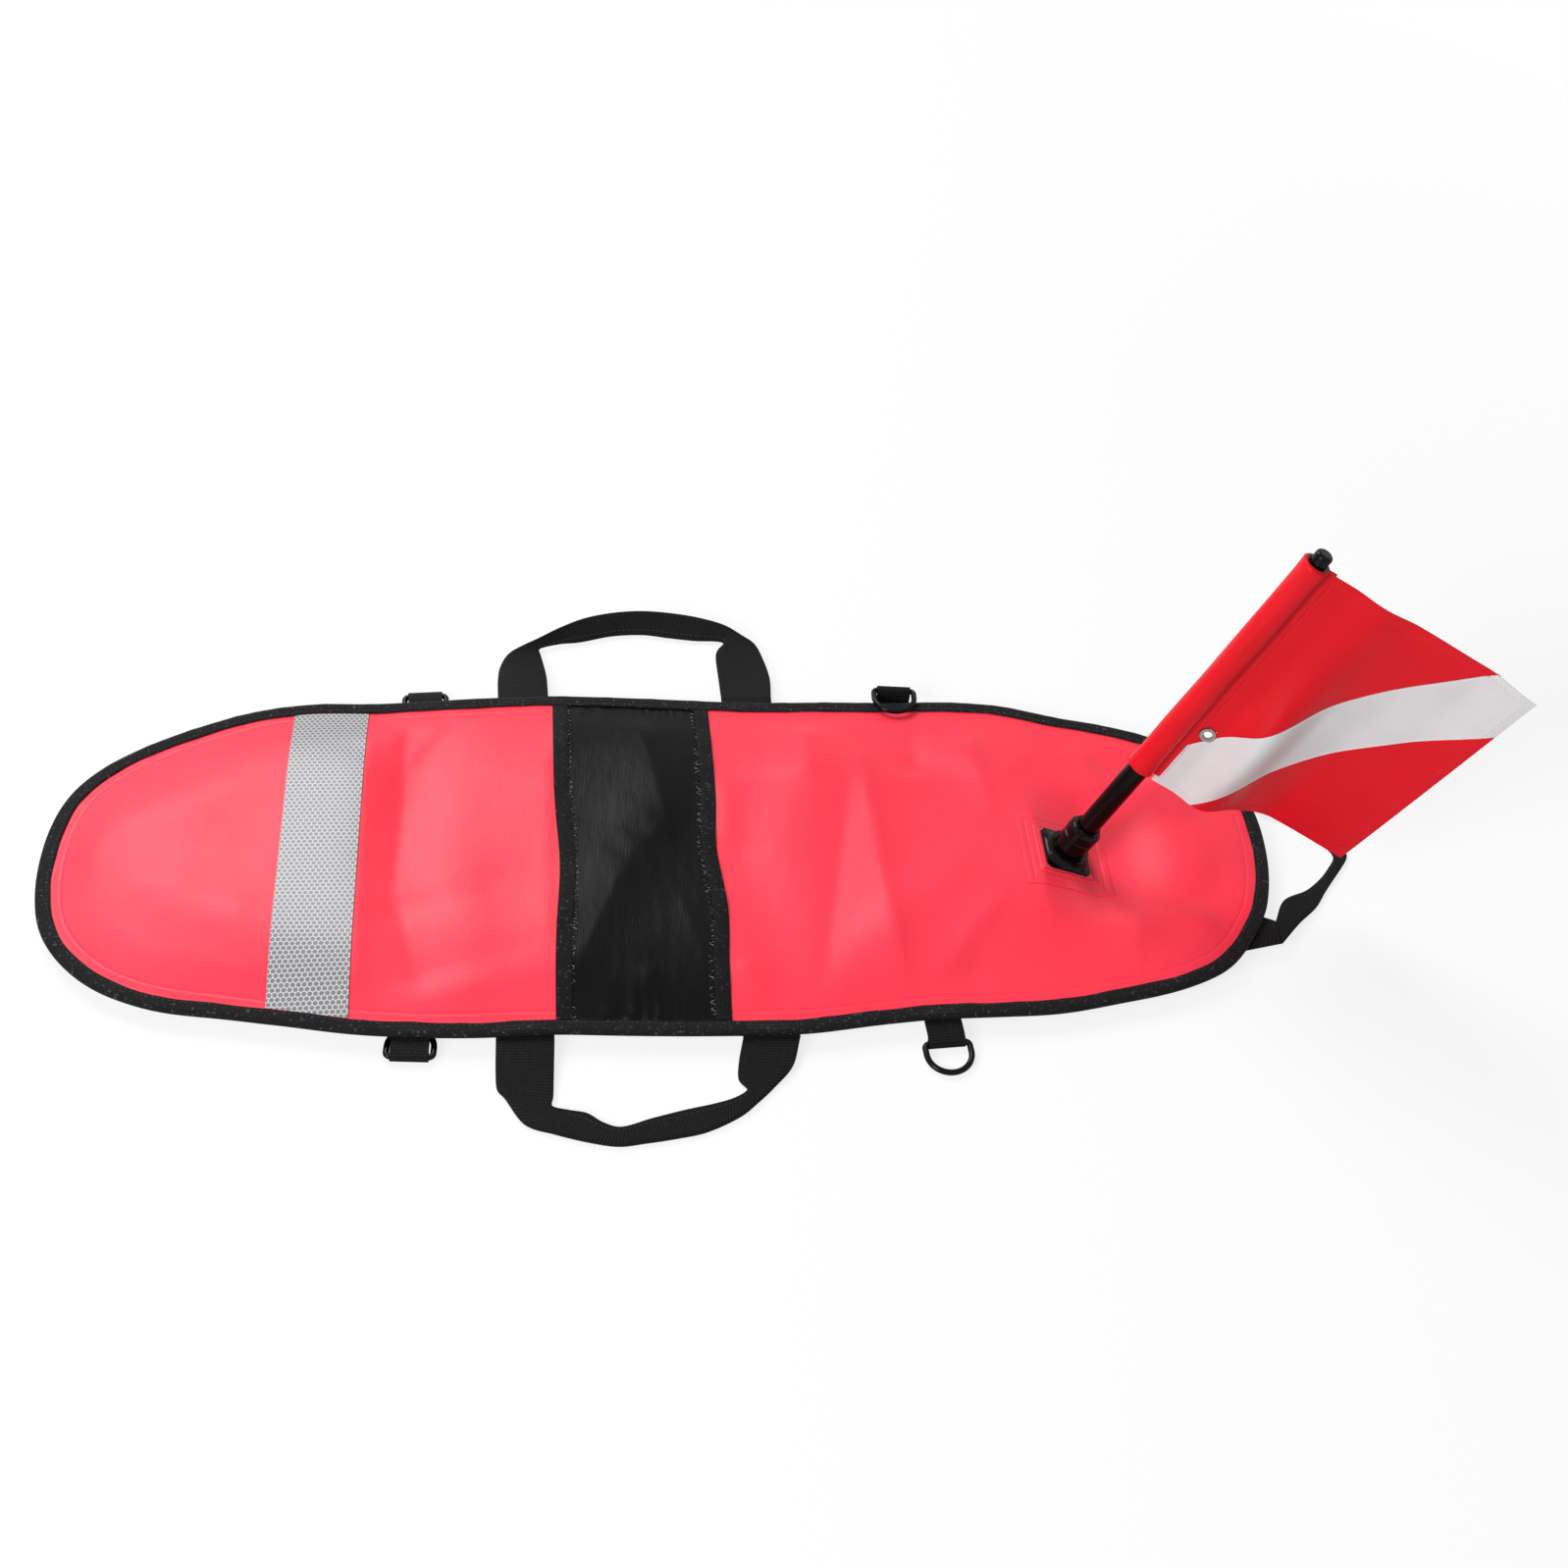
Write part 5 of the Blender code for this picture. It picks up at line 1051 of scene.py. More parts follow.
# %% [markdown]
# ## Reinforcing patches
# Two squares of the same coated fabric under the mast socket. The outer one is welded, with a pressed
# line inside its edge; the inner one is stitched with dark thread 2 mm inside its edge. Both are fine
# grids on the cover's own height, so they follow the seat as the real ones do.

# %% Reinforcing patches
OUTER_SIDE, INNER_SIDE, FLANGE_SIDE = 0.062, 0.042, 0.0345
PATCH_THICK, PATCH_PITCH, PATCH_SEAM = 0.0007, 0.0007, 0.0022
SEAT_STEP = 2 * (SKIN + GAP) - 2 * PATCH_THICK


def patch(name, node, side, rise, edge_drop, line_drop, line_inside, line_width, seat_step=0.0):
    """A square sheet at the mast's foot, with a dropped edge and a pressed line inside it."""
    steps = np.linspace(-side / 2, side / 2, int(side / PATCH_PITCH) + 1)
    grid = np.stack(np.meshgrid(steps, steps, indexing="ij"), axis=-1)
    plan = grid + (MAST_X, MAST_OFFSET)
    inside = side / 2 - np.abs(grid).max(axis=-1)
    drop = edge_drop * (1 - smooth(inside / 0.0010))
    drop = drop + line_drop * np.exp(-(((inside - line_inside) / line_width) ** 2))
    under_flange = smooth(inside / ((INNER_SIDE - FLANGE_SIDE) / 2))
    top_sheet(name, node, "coral_fabric", CORAL, plan,
              cover_height(plan) + rise + seat_step * under_flange - drop, PATCH_THICK * 0.8, (side, side))


patch("outer_patch", "outer_socket_patch", OUTER_SIDE, PATCH_THICK, 0.00015, 0.0004, 0.005, 0.0008)
patch("inner_patch", "inner_socket_patch", INNER_SIDE, 2 * PATCH_THICK, 0.0002, 0.0003, PATCH_SEAM,
      0.0005, SEAT_STEP)
half = INNER_SIDE / 2 - PATCH_SEAM
corners = np.array([(-half, -half), (half, -half), (half, half), (-half, half), (-half, -half)])
path = even_points(corners + (MAST_X, MAST_OFFSET), 0.001)
seat = SEAT_STEP * smooth(PATCH_SEAM / ((INNER_SIDE - FLANGE_SIDE) / 2))
line = lifted(path, cover_height(path) + 2 * PATCH_THICK + seat - 0.0001)
sew("patch_stitches", [running(line, 0.0024, 0.0016)], (math.sin(MAST_TILT), 0, math.cos(MAST_TILT)),
    0.00024, THREAD)


# %% [markdown]
# ## Straps
# A handle is one length of webbing, folded double where it is gripped and caught under the binding at
# both ends. A curve with a bevel keeps one width and can't open a fold, so the strap is a webbing section
# carried along pairs of points, its outer and inner edge. Where it is folded double the section is
# thicker and has a slit along its open side. The points are the CAD's, with a smooth curve through them.

# %% Straps
WEB_THICK, WEB_FOLDED, HANDLE_REST = 0.0013, 0.0028, 0.0016
HANDLE_REACH, HINGE_OUT, ROOT_GAP, HANDLE_TUCK = 0.0860, 0.00095, 0.00005, 0.0140
HANDLE_ROOT_Z = EDGE_LIFT - GAP - WEB_THICK / 2
STRAP_STATIONS, SLIT_SHARE, GRIP_SEAM_SHARE = 180, 0.84, 0.80
# share of the width, share of half the thickness, and whether the slit's depth is taken off
LOWER_HALF = ((0, -0.3, 0), (0.012, -0.75, 0), (0.04, -1, 0), (0.2, -0.96, 0), (0.4, -1, 0),
              (0.6, -0.96, 0), (0.8, -1, 0), (0.96, -1, 0), (0.99, -0.85, 0), (1, -0.45, 0),
              (0.995, -0.12, 0), (0.99, -0.1, 1))
STRAP_SECTION = LOWER_HALF + tuple((share, -lift, slit) for share, lift, slit in LOWER_HALF[::-1])


def curve_through(points, count):
    """A smooth curve through rows of values, at even places along it."""
    points = np.asarray(points, dtype=float)
    padded = np.vstack([2 * points[0] - points[1], points, 2 * points[-1] - points[-2]])
    places = np.linspace(0, len(points) - 1, count)
    start = np.minimum(places.astype(int), len(points) - 2)
    t = (places - start)[:, None]
    a, b, c, d = (padded[start + i] for i in range(4))
    return 0.5 * (2 * b + (c - a) * t + (2 * a - 5 * b + 4 * c - d) * t ** 2
                  + (3 * b - a - 3 * c + d) * t ** 3)


# A run has a row for each station: outer point, inner point, thickness, and how far it is folded double.
def rounded_root(run):
    """Add half-round ends to a run, so that the strap turns in its root without a gap."""
    turns = np.radians((88, 72, 54, 36, 18))[:, None]
    for _ in range(2):
        away = unit((run[0, :3] + run[0, 3:6] - run[1, :3] - run[1, 3:6]) / 2)
        points = run[0, :6] + np.sin(turns) * np.tile(away, 2) * run[0, 6] / 2
        run = np.vstack([np.hstack([points, run[0, 6] * np.cos(turns), 0 * turns]), run])[::-1]
    return run


def across_run(run):
    """Vectors from the outer to the inner edge of a run, and its unit normals."""
    inwards = run[:, 3:6] - run[:, :3]
    aim = unit(np.gradient((run[:, :3] + run[:, 3:6]) / 2, axis=0))
    return inwards, unit(np.cross(aim, inwards))


def strap(name, run):
    """A webbing strap along a run."""
    inwards, normal = across_run(run)
    columns = [run[:, :3] + inwards * (share - slit * run[:, 7:] * SLIT_SHARE)
               + normal * (lift * run[:, 6:7] / 2) for share, lift, slit in STRAP_SECTION]
    return swept(name, np.stack(columns, axis=1), WEBBING, smooth_deg=55.0)


print("strap section:", len(STRAP_SECTION), "points")

# %% [markdown]
# **A whole handle.** On the real float the two webbing ends stay sewn under the binding while the handle
# turns about the binding's edge. So the ends are pieces of their own that ride on the float.


# %% A whole handle
def strap_end(name, pairs, node):
    """A short webbing end from its tucked pair of points to its free pair."""
    edges = curve_through([np.concatenate(pair) for pair in pairs], 6)
    run = np.hstack([edges, np.full((6, 1), WEB_THICK), np.zeros((6, 1))])
    return onto(strap(name, run), "float", "black_webbing", node)


def grip_stitches(name, run, body):
    """The seam that closes the folded grip, near its open side."""
    inwards, normal = across_run(run)
    kept = run[:, 7] > 0.75
    upward = normal * np.sign(normal[:, 2:])
    line = run[:, :3] + inwards * GRIP_SEAM_SHARE + upward * run[:, 6:7] / 2
    return sew(name, [running(line[kept], STITCH_PITCH, STITCH_LENGTH)], upward[kept].mean(axis=0),
               0.00028, THREAD, body)


def carry_handle(label, edges, width, ends):
    """A handle from its points and fold, with its grip's seam and the two ends sewn under the binding."""
    node = label + "_handle"
    folded = np.clip(edges[:, 6:], 0, 1)
    run = np.hstack([edges[:, :6], WEB_THICK + folded * (WEB_FOLDED - WEB_THICK), folded])
    length = float(run_along((run[:, :3] + run[:, 3:6]) / 2)[-1])
    handle = strap(label + "_carry_handle", rounded_root(run))
    fittings = [grip_stitches(node + "_stitches", run, node)]
    fittings += [strap_end(f"{node}_{end}_end", pairs, f"{node}_{end}_anchor") for end, pairs in ends]
    onto(handle, node, "black_webbing", node, flat=(width, length), held="folded", with_pieces=fittings)
    print(label, "handle:", round(length, 3), "m of webbing")


print("handles turn", round(HANDLE_ROOT_Z * 1000, 2), "mm above the floor")

# %% [markdown]
# ## Handles
# Each side handle lies on the floor in its own curl, so each has its own rows. The loop at the tail
# follows the same way: only its near half shows beside the flag, and the far half mirrors it.

# %% Side handles
# outer edge along and out, inner edge along and out, as shares of the half span and the reach; height of
# the outer and the inner edge from the floor to the root; how far the webbing is folded double
NEAR_HANDLE_SHARES = (
    (-0.985, 0, -0.615, 0, 1, 1, 0), (-0.985, 0.23, -0.62, 0.23, 0.5, 0.5, 0),
    (-0.975, 0.37, -0.625, 0.43, 0.12, 0.12, 0), (-0.924, 0.45, -0.63, 0.52, 0, 0.05, 0.15),
    (-0.802, 0.67, -0.53, 0.56, 0, 0.1, 0.6), (-0.62, 0.755, -0.416, 0.593, 0, 0.1, 1),
    (-0.426, 0.825, -0.315, 0.675, 0, 0.05, 1), (-0.234, 0.87, -0.203, 0.715, 0, 0.1, 1),
    (-0.061, 0.85, -0.02, 0.65, 0, 0.1, 1), (0.142, 0.815, 0.193, 0.582, 0, 0.05, 1),
    (0.325, 0.767, 0.376, 0.535, 0, 0.05, 1), (0.528, 0.651, 0.508, 0.488, 0, 0.1, 1),
    (0.65, 0.535, 0.589, 0.42, 0.05, 0.2, 0.9), (0.772, 0.395, 0.54, 0.33, 0.1, 0.15, 0.4),
    (0.893, 0.235, 0.548, 0.19, 0.5, 0.5, 0), (0.955, 0, 0.585, 0, 1, 1, 0))
FAR_HANDLE_SHARES = (
    (-1, 0, -0.635, 0, 1, 1, 0), (-1.003, 0.26, -0.645, 0.28, 0.55, 0.55, 0),
    (-0.985, 0.45, -0.67, 0.48, 0.2, 0.2, 0), (-0.925, 0.6, -0.69, 0.6, 0.25, 0.1, 0.2),
    (-0.81, 0.69, -0.7, 0.655, 0.6, 0.1, 0.6), (-0.69, 0.745, -0.66, 0.69, 1.2, 0.1, 0.9),
    (-0.53, 0.85, -0.54, 0.735, 1.6, 0, 1), (-0.344, 0.95, -0.39, 0.76, 1.8, 0, 1),
    (-0.129, 1.01, -0.15, 0.835, 1.9, 0, 1), (0.086, 1.03, 0.08, 0.852, 1.9, 0, 1),
    (0.3, 1.01, 0.27, 0.815, 1.8, 0, 1), (0.514, 0.965, 0.47, 0.78, 1.6, 0, 1),
    (0.702, 0.9, 0.64, 0.77, 1.2, 0.05, 0.95), (0.835, 0.8, 0.69, 0.735, 0.7, 0.1, 0.8),
    (0.925, 0.715, 0.64, 0.65, 0.35, 0.15, 0.3), (0.975, 0.54, 0.62, 0.54, 0.3, 0.3, 0),
    (1.01, 0.28, 0.625, 0.28, 0.55, 0.55, 0), (1, 0, 0.63, 0, 1, 1, 0))
for side, label, shares in ((-1, "near", NEAR_HANDLE_SHARES), (1, "far", FAR_HANDLE_SHARES)):
    run = curve_through(shares, STRAP_STATIONS)
    edges = [(HANDLE_X + run[:, i] * HANDLE_HALF_SPAN,
              side * (HALF_WIDTH + HINGE_OUT + run[:, i + 1] * (HANDLE_REACH - HINGE_OUT)),
              HANDLE_REST + np.maximum(run[:, 4 + i // 2], 0) * (HANDLE_ROOT_Z - HANDLE_REST))
             for i in (0, 2)]
    ends = [(end, [[(HANDLE_X + row[i] * HANDLE_HALF_SPAN, side * (HALF_WIDTH + out), HANDLE_ROOT_Z)
                    for i in (0, 2)] for out in (-HANDLE_TUCK, HINGE_OUT - WEB_THICK / 2 - ROOT_GAP)])
            for end, row in (("nose", shares[0]), ("tail", shares[-1]))]
    carry_handle(label, np.column_stack([*edges[0], *edges[1], run[:, 6]]), 0.0365, ends)

# %% [markdown]
# **End handle.** Its legs start on the board's curved tail, so each tucked end is found on the outline and
# set square to it there.

# %% End handle
# outer edge out and across, inner edge out and across, height and fold, all as shares
END_HANDLE_SHARES = (
    (0, 1.08, 0, 0.821, 1, 0), (0.25, 0.825, 0.16, 0.56, 0.5, 0.5), (0.482, 0.622, 0.425, 0.43, 0.1, 0.9),
    (0.643, 0.42, 0.62, 0.28, 0, 1), (0.876, 0.15, 0.765, 0.12, 0, 1))
END_HINGE_X, END_REACH, END_LEG_OUTER, END_LEG_INNER = 0.4065, 0.0700, 0.0755, 0.0620
END_LEG_ROOT, END_LEG_FLARE = 0.1060, 1.08
rows = []
for out, across, inner_out, inner_across, height, folded in END_HANDLE_SHARES:
    z = HANDLE_REST + height * (HANDLE_ROOT_Z - HANDLE_REST)
    rows.append((END_HINGE_X + out * END_REACH, -across * END_LEG_OUTER, z,
                 END_HINGE_X + inner_out * END_REACH, -inner_across * END_LEG_OUTER, z, folded))
# the row beside the tip and the tip itself, with metres across
for out, across, inner_out, inner_across in ((0.945, 0.0048, 0.812, 0.0042), (0.97, 0, 0.83, 0)):
    rows.append((END_HINGE_X + END_REACH * out, -across, HANDLE_REST,
                 END_HINGE_X + END_REACH * inner_out, -inner_across, HANDLE_REST, 1))
mirrored = [(a, -b, c, d, -e, f, g) for a, b, c, d, e, f, g in rows[-2::-1]]
ends = []
for end, side in (("near", -1), ("far", 1)):
    tucked, free = [], []
    for root, leg in ((END_LEG_ROOT, END_LEG_OUTER * END_LEG_FLARE), (END_LEG_INNER, END_LEG_INNER)):
        k = int(np.argmin(np.abs(PLAN_EDGE[:, 1] - side * root) + (PLAN_EDGE[:, 0] < 0)))
        tucked.append((*(PLAN_EDGE[k] - PLAN_OUTWARD[k] * HANDLE_TUCK), HANDLE_ROOT_Z))
        free.append((END_HINGE_X - WEB_THICK / 2 - ROOT_GAP, side * leg, HANDLE_ROOT_Z))
    ends.append((end, [tucked, free]))
carry_handle("end", curve_through(rows + mirrored, STRAP_STATIONS), 0.0255, ends)


# %% [markdown]
# ## Tabs
# Each ring hangs in a short piece of 24 mm webbing, doubled round the ring's bar and caught under the
# binding. Seen from its side the webbing is one path: in, round the bar, and back. So a tab is one
# section carried along that path, and it can't come apart at the fold.

# %% Tabs
TAB_HALF, TAB_WEB, TAB_ROOT = 0.0120, 0.0009, -0.0135
BAR_OUT, BAR_Z, RAISED_BAR_OUT, RAISED_BAR_Z, WRAP = 0.0088, 0.0033, 0.0044, 0.0153, 0.00275
HIGH_Z, LOW_Z = 0.00725, 0.00635


def edge_frame(x, side):
    """Frame on the board's edge: along it, outwards and up."""
    k = int(np.argmin(np.abs(PLAN_EDGE[:, 0] - x) + (PLAN_EDGE[:, 1] * side < 0)))
    out, up = Vector((*PLAN_OUTWARD[k], 0)), Vector(UP)
    turned = Matrix((out.cross(up), out, up)).transposed().to_4x4()
    return Matrix.Translation((*PLAN_EDGE[k], 0)) @ turned


def round_bar(out, z, start_deg, stop_deg):
    """Part of the webbing's turn round the bar."""
    return [(out + WRAP * math.cos(a), z + WRAP * math.sin(a))
            for a in np.radians(np.linspace(start_deg, stop_deg, 18))]


FLAT_PATH = [(TAB_ROOT, HIGH_Z), (0.0005, HIGH_Z), (0.0035, 0.0072), (0.0064, 0.0068),
             *round_bar(BAR_OUT, BAR_Z, 72, -205), (0.0048, 0.0060), (0.0030, LOW_Z - 0.0001),
             (0.0005, LOW_Z), (TAB_ROOT, LOW_Z)]
RAISED_PATH = [(TAB_ROOT, HIGH_Z), (-0.0008, HIGH_Z), (0.0006, 0.0082), (0.00078, 0.0105),
               (0.0008, 0.0135), *round_bar(RAISED_BAR_OUT, RAISED_BAR_Z, 152, -142),
               (0.00175, 0.0118), (0.0017, 0.0092), (0.0012, 0.0072), (-0.0002, LOW_Z),
               (TAB_ROOT, LOW_Z)]
# share of the half width, and of half the webbing's thickness
TAB_LOWER = ((-1, -0.4), (-0.985, -1), (-0.5, -1), (0, -1), (0.5, -1), (0.985, -1), (1, -0.4))
TAB_SECTION = TAB_LOWER + tuple((share, -lift) for share, lift in TAB_LOWER[::-1])
RING_PLACES = (("far_nose", NOSE_RING_X, 1, FLAT_PATH), ("near_nose", NOSE_RING_X, -1, FLAT_PATH),
               ("near_tail", TAIL_RING_X, -1, FLAT_PATH), ("far_tail", TAIL_RING_X, 1, RAISED_PATH))
for label, x, side, path in RING_PLACES:
    line = curve_through(path, 110)
    aim = unit(np.gradient(line, axis=0))
    normal = np.column_stack([-aim[:, 1], aim[:, 0]])
    sections = [np.column_stack([np.full(len(line), share * TAB_HALF), line + normal * lift * TAB_WEB / 2])
                for share, lift in TAB_SECTION]
    loop = swept(label + "_loop", np.stack(sections, axis=1), WEBBING, smooth_deg=50.0)
    loop.data.transform(edge_frame(x, side))
    length = float(run_along(line)[-1])
    onto(loop, "float", "black_webbing", label + "_tab", flat=(2 * TAB_HALF, length), held="folded")
    print(label, "tab:", round(length, 4), "m of webbing")

# %% [markdown]
# ## D-rings
# A D-ring is moulded as a bent round bar: a straight bar, two tight corners, two short legs and a half
# circle. One round section is spun and extruded round that path, so every bend is a true arc, and each
# ring is that shape laid at its own lean.

# %% D-rings
WIRE, HALF_RING, RING_DEPTH, CORNER = 0.0020, 0.0146, 0.0220, 0.0030
ARC_Y = RING_DEPTH - HALF_RING
FALL = math.degrees(math.asin((BAR_Z - WIRE - GAP) / RING_DEPTH))
LEANS = {"far_nose": FALL - 180, "near_nose": FALL - 180, "near_tail": -FALL, "far_tail": 177.0}


def bent_ring(name, place):
    """A D-shaped ring, spun and extruded from one round section, laid at a place."""
    select_only()
    bpy.ops.mesh.primitive_circle_add(vertices=14, radius=WIRE, location=(HALF_RING, ARC_Y, 0),
                                      rotation=(math.pi / 2, 0, 0))
    piece = bpy.context.object
    piece.name = piece.data.name = name
    bpy.ops.object.transform_apply(location=True, rotation=True, scale=True)
    bpy.ops.object.mode_set(mode="EDIT")
    bpy.ops.mesh.select_all(action="SELECT")
    leg, bar = ARC_Y - CORNER, 2 * (HALF_RING - CORNER)
    # a turn has its centre, angle and steps; a run has only how far it goes
    for spot, angle, steps in (((0, ARC_Y), math.pi, 32), ((0, -leg), 0, 0),
                               ((CORNER - HALF_RING, CORNER), math.pi / 2, 8), ((bar, 0), 0, 0),
                               ((HALF_RING - CORNER, CORNER), math.pi / 2, 8), ((0, leg), 0, 0)):
        if steps:
            bpy.ops.mesh.spin(steps=steps, angle=-angle, center=(*spot, 0), axis=(0, 0, 1))
        else:
            bpy.ops.mesh.extrude_region_move(TRANSFORM_OT_translate={"value": (*spot, 0)})
    bpy.ops.mesh.select_all(action="SELECT")
    bpy.ops.mesh.remove_doubles(threshold=0.00005)
    bpy.ops.mesh.normals_make_consistent(inside=False)
    bpy.ops.object.mode_set(mode="OBJECT")
    piece.data.transform(place)
    piece.data.materials.append(MOULDED)
    piece.data.shade_smooth()
    return piece


for label, x, side, path in RING_PLACES:
    out, z = (RAISED_BAR_OUT, RAISED_BAR_Z) if path is RAISED_PATH else (BAR_OUT, BAR_Z)
    lean = Matrix.Rotation(math.radians(LEANS[label]), 4, "X")
    ring = bent_ring(label + "_d_ring", edge_frame(x, side) @ Matrix.Translation((0, out, z)) @ lean)
    onto(ring, label + "_ring", "black_moulding", label + "_ring")
print("rings:", len(ring.data.polygons), "faces each")

# %% [markdown]
# ## Flag
# A flag of light nylon: two red panels and a white diagonal stripe, hemmed all round and sewn to a sleeve
# that slips over the mast. Its lower corner is swept back by its own stiffness. The three panels share
# one curved surface, so they can't part, and run a little under the stripe, where the seam joins them.

# %% The flag's surface
SEAT_FRAME = Matrix.Translation((MAST_X, MAST_OFFSET, SEAT_HEIGHT)) @ Matrix.Rotation(MAST_TILT, 4, "Y")
FLAG_BOTTOM, FLAG_HOIST, FLAG_FLY, HOIST_OUT = 0.089, 0.195, 0.160, 0.0143
FLAG_TOP = FLAG_BOTTOM + FLAG_HOIST
FLAG_TURN = math.radians(-20)
FLAG_SPIN = np.array(((math.cos(FLAG_TURN), -math.sin(FLAG_TURN)),
                      (math.sin(FLAG_TURN), math.cos(FLAG_TURN))))
SLOPE, STRIPE_HALF = FLAG_HOIST / (FLAG_FLY - HOIST_OUT), 0.037
CLOTH_THICK, HEM, HEM_RAISED, LAP, SEWN_IN, FLAG_PITCH = 0.00045, 0.0060, 0.0003, 0.0030, 0.0030, 0.0018


def flag_surface(up, out):
    """Middle of the flag's cloth in the mast's frame: swept back below, dipped and curled."""
    rise = (up - FLAG_BOTTOM) / FLAG_HOIST
    sweep = smooth((out - 0.040) / 0.065)
    dip = np.sin(math.pi * np.clip((out - 0.0255) / 0.050, 0, 1)) ** 2
    deepest = 0.3 + np.exp(-(((rise - 0.33) / 0.24) ** 2))
    curl = smooth((out - FLAG_FLY + 0.035) / 0.035) * rise
    side = 0.031 * sweep * (1 - rise) - 0.011 * dip * deepest - 0.010 * curl
    side = side + 0.0006 * smooth((out - 0.060) / 0.05) * np.sin(out * 60 + rise * 3.1 + 0.6)
    return np.concatenate([np.stack([out, side], axis=-1) @ FLAG_SPIN.T, up[..., None]], axis=-1)


def flag_facing(up, out):
    """Unit normals of the flag's surface."""
    step = 0.0005
    a = flag_surface(up, out + step) - flag_surface(up, out - step)
    b = flag_surface(up + step, out) - flag_surface(up - step, out)
    return unit(np.cross(a, b))


def to_world(points, directions=False):
    """Points or directions of the mast's frame in the float's frame."""
    matrix = np.array(SEAT_FRAME)
    return points @ matrix[:3, :3].T + (0 if directions else matrix[:3, 3])


def stripe_middle(out):
    """Height of the diagonal stripe's middle line."""
    return FLAG_BOTTOM + SLOPE * (out - HOIST_OUT)


print("flag:", FLAG_FLY, "m out and", FLAG_HOIST, "m up")

# %% [markdown]
# **A panel.** It is a grid between two borders on that surface. Its hem is a little raised, as doubled
# cloth is, and beside the stripe it sinks under it.


# %% A flag panel
def flag_panel(name, node, slot, look, outs, lower, upper, count, sink):
    """A panel between two borders; sink drops it under the stripe along the joint."""
    lower, upper = (np.broadcast_to(border, outs.shape)[:, None] for border in (lower, upper))
    up = lower + (upper - lower) * np.linspace(0, 1, count + 1)
    out = np.broadcast_to(outs[:, None], up.shape)
    joint = np.abs(up - stripe_middle(out)) - STRIPE_HALF
    hem = np.minimum(np.minimum(up - FLAG_BOTTOM, FLAG_TOP - up), FLAG_FLY - out)
    lift = HEM_RAISED * (1 - smooth((hem - HEM) / 0.0008)) - sink * (1 - smooth((joint - 0.0002) / 0.0016))
    rows = flag_surface(up, out) + flag_facing(up, out) * lift[..., None]
    uv = np.stack([out, up], axis=-1)
    facing = to_world(flag_facing(np.array(0.16), np.array(0.08)), True)
    piece = cloth(name, to_world(rows), CLOTH_THICK, look, uv=uv, up=facing, offset=0.0)
    print(name + ":", len(piece.data.polygons), "faces")
    return onto(piece, "flag", slot, node, flat=(float(np.ptp(out)), float(np.ptp(up))), held="hung",
                rests_on=["mast_tube"], area=plan_area(uv))


# %% [markdown]
# **Panels and stripe.** The three panels come first, then the eyelet's hole: the faces under its rim are
# taken out of the upper panel, and a wall joins the two rims that this leaves.

# %% Panels and stripe
EYELET_OUT, EYELET_UP, EYELET_CLEAR = 0.0204, FLAG_BOTTOM + 0.052, 0.0043
LEAST_WIDTH, SINK = 0.0004, 0.00055
low_tip, high_tip = HOIST_OUT + STRIPE_HALF / SLOPE, FLAG_FLY - STRIPE_HALF / SLOPE
hoist = HOIST_OUT - SEWN_IN
outs = spaced(hoist, high_tip + LAP / SLOPE - 0.0005, FLAG_PITCH)
border = np.minimum(stripe_middle(outs) + STRIPE_HALF - LAP, FLAG_TOP - LEAST_WIDTH)
upper_panel = flag_panel("flag_upper_cloth", "flag_upper_panel", "flag_red", FLAG_RED, outs, border,
                         FLAG_TOP, 70, SINK)
outs = spaced(low_tip - LAP / SLOPE + 0.0005, FLAG_FLY, FLAG_PITCH)
border = np.maximum(stripe_middle(outs) - STRIPE_HALF + LAP, FLAG_BOTTOM + LEAST_WIDTH)
flag_panel("flag_lower_cloth", "flag_lower_panel", "flag_red", FLAG_RED, outs, FLAG_BOTTOM, border, 70,
           SINK)
outs = np.unique(np.concatenate([spaced(start, stop, FLAG_PITCH) for start, stop in
                                 ((hoist, low_tip), (low_tip, high_tip), (high_tip, FLAG_FLY))]))
flag_panel("flag_white_stripe", "flag_stripe", "flag_white", FLAG_WHITE, outs,
           np.maximum(stripe_middle(outs) - STRIPE_HALF, FLAG_BOTTOM),
           np.minimum(stripe_middle(outs) + STRIPE_HALF, FLAG_TOP), 44, 0.0)
eyelet_at = Vector(to_world(flag_surface(np.array(EYELET_UP), np.array(EYELET_OUT))))
mesh = bmesh.new()
mesh.from_mesh(upper_panel.data)
under_rim = [f for f in mesh.faces if (f.calc_center_median() - eyelet_at).length < EYELET_CLEAR]
bmesh.ops.delete(mesh, geom=under_rim, context="FACES")
bmesh.ops.bridge_loops(mesh, edges=[e for e in mesh.edges if e.is_boundary])
mesh.to_mesh(upper_panel.data)
mesh.free()
print("eyelet's hole:", len(under_rim), "faces taken out")

# %% [markdown]
# **Sleeve.** One strip of red nylon taken round the mast and sewn to itself and the panels. In section it
# leaves the seam, goes round the tube and comes back. It is a little loose and flared at its ends. At the
# top its hem is drawn in over the tube's rim, so that only the cap's knob stands out.

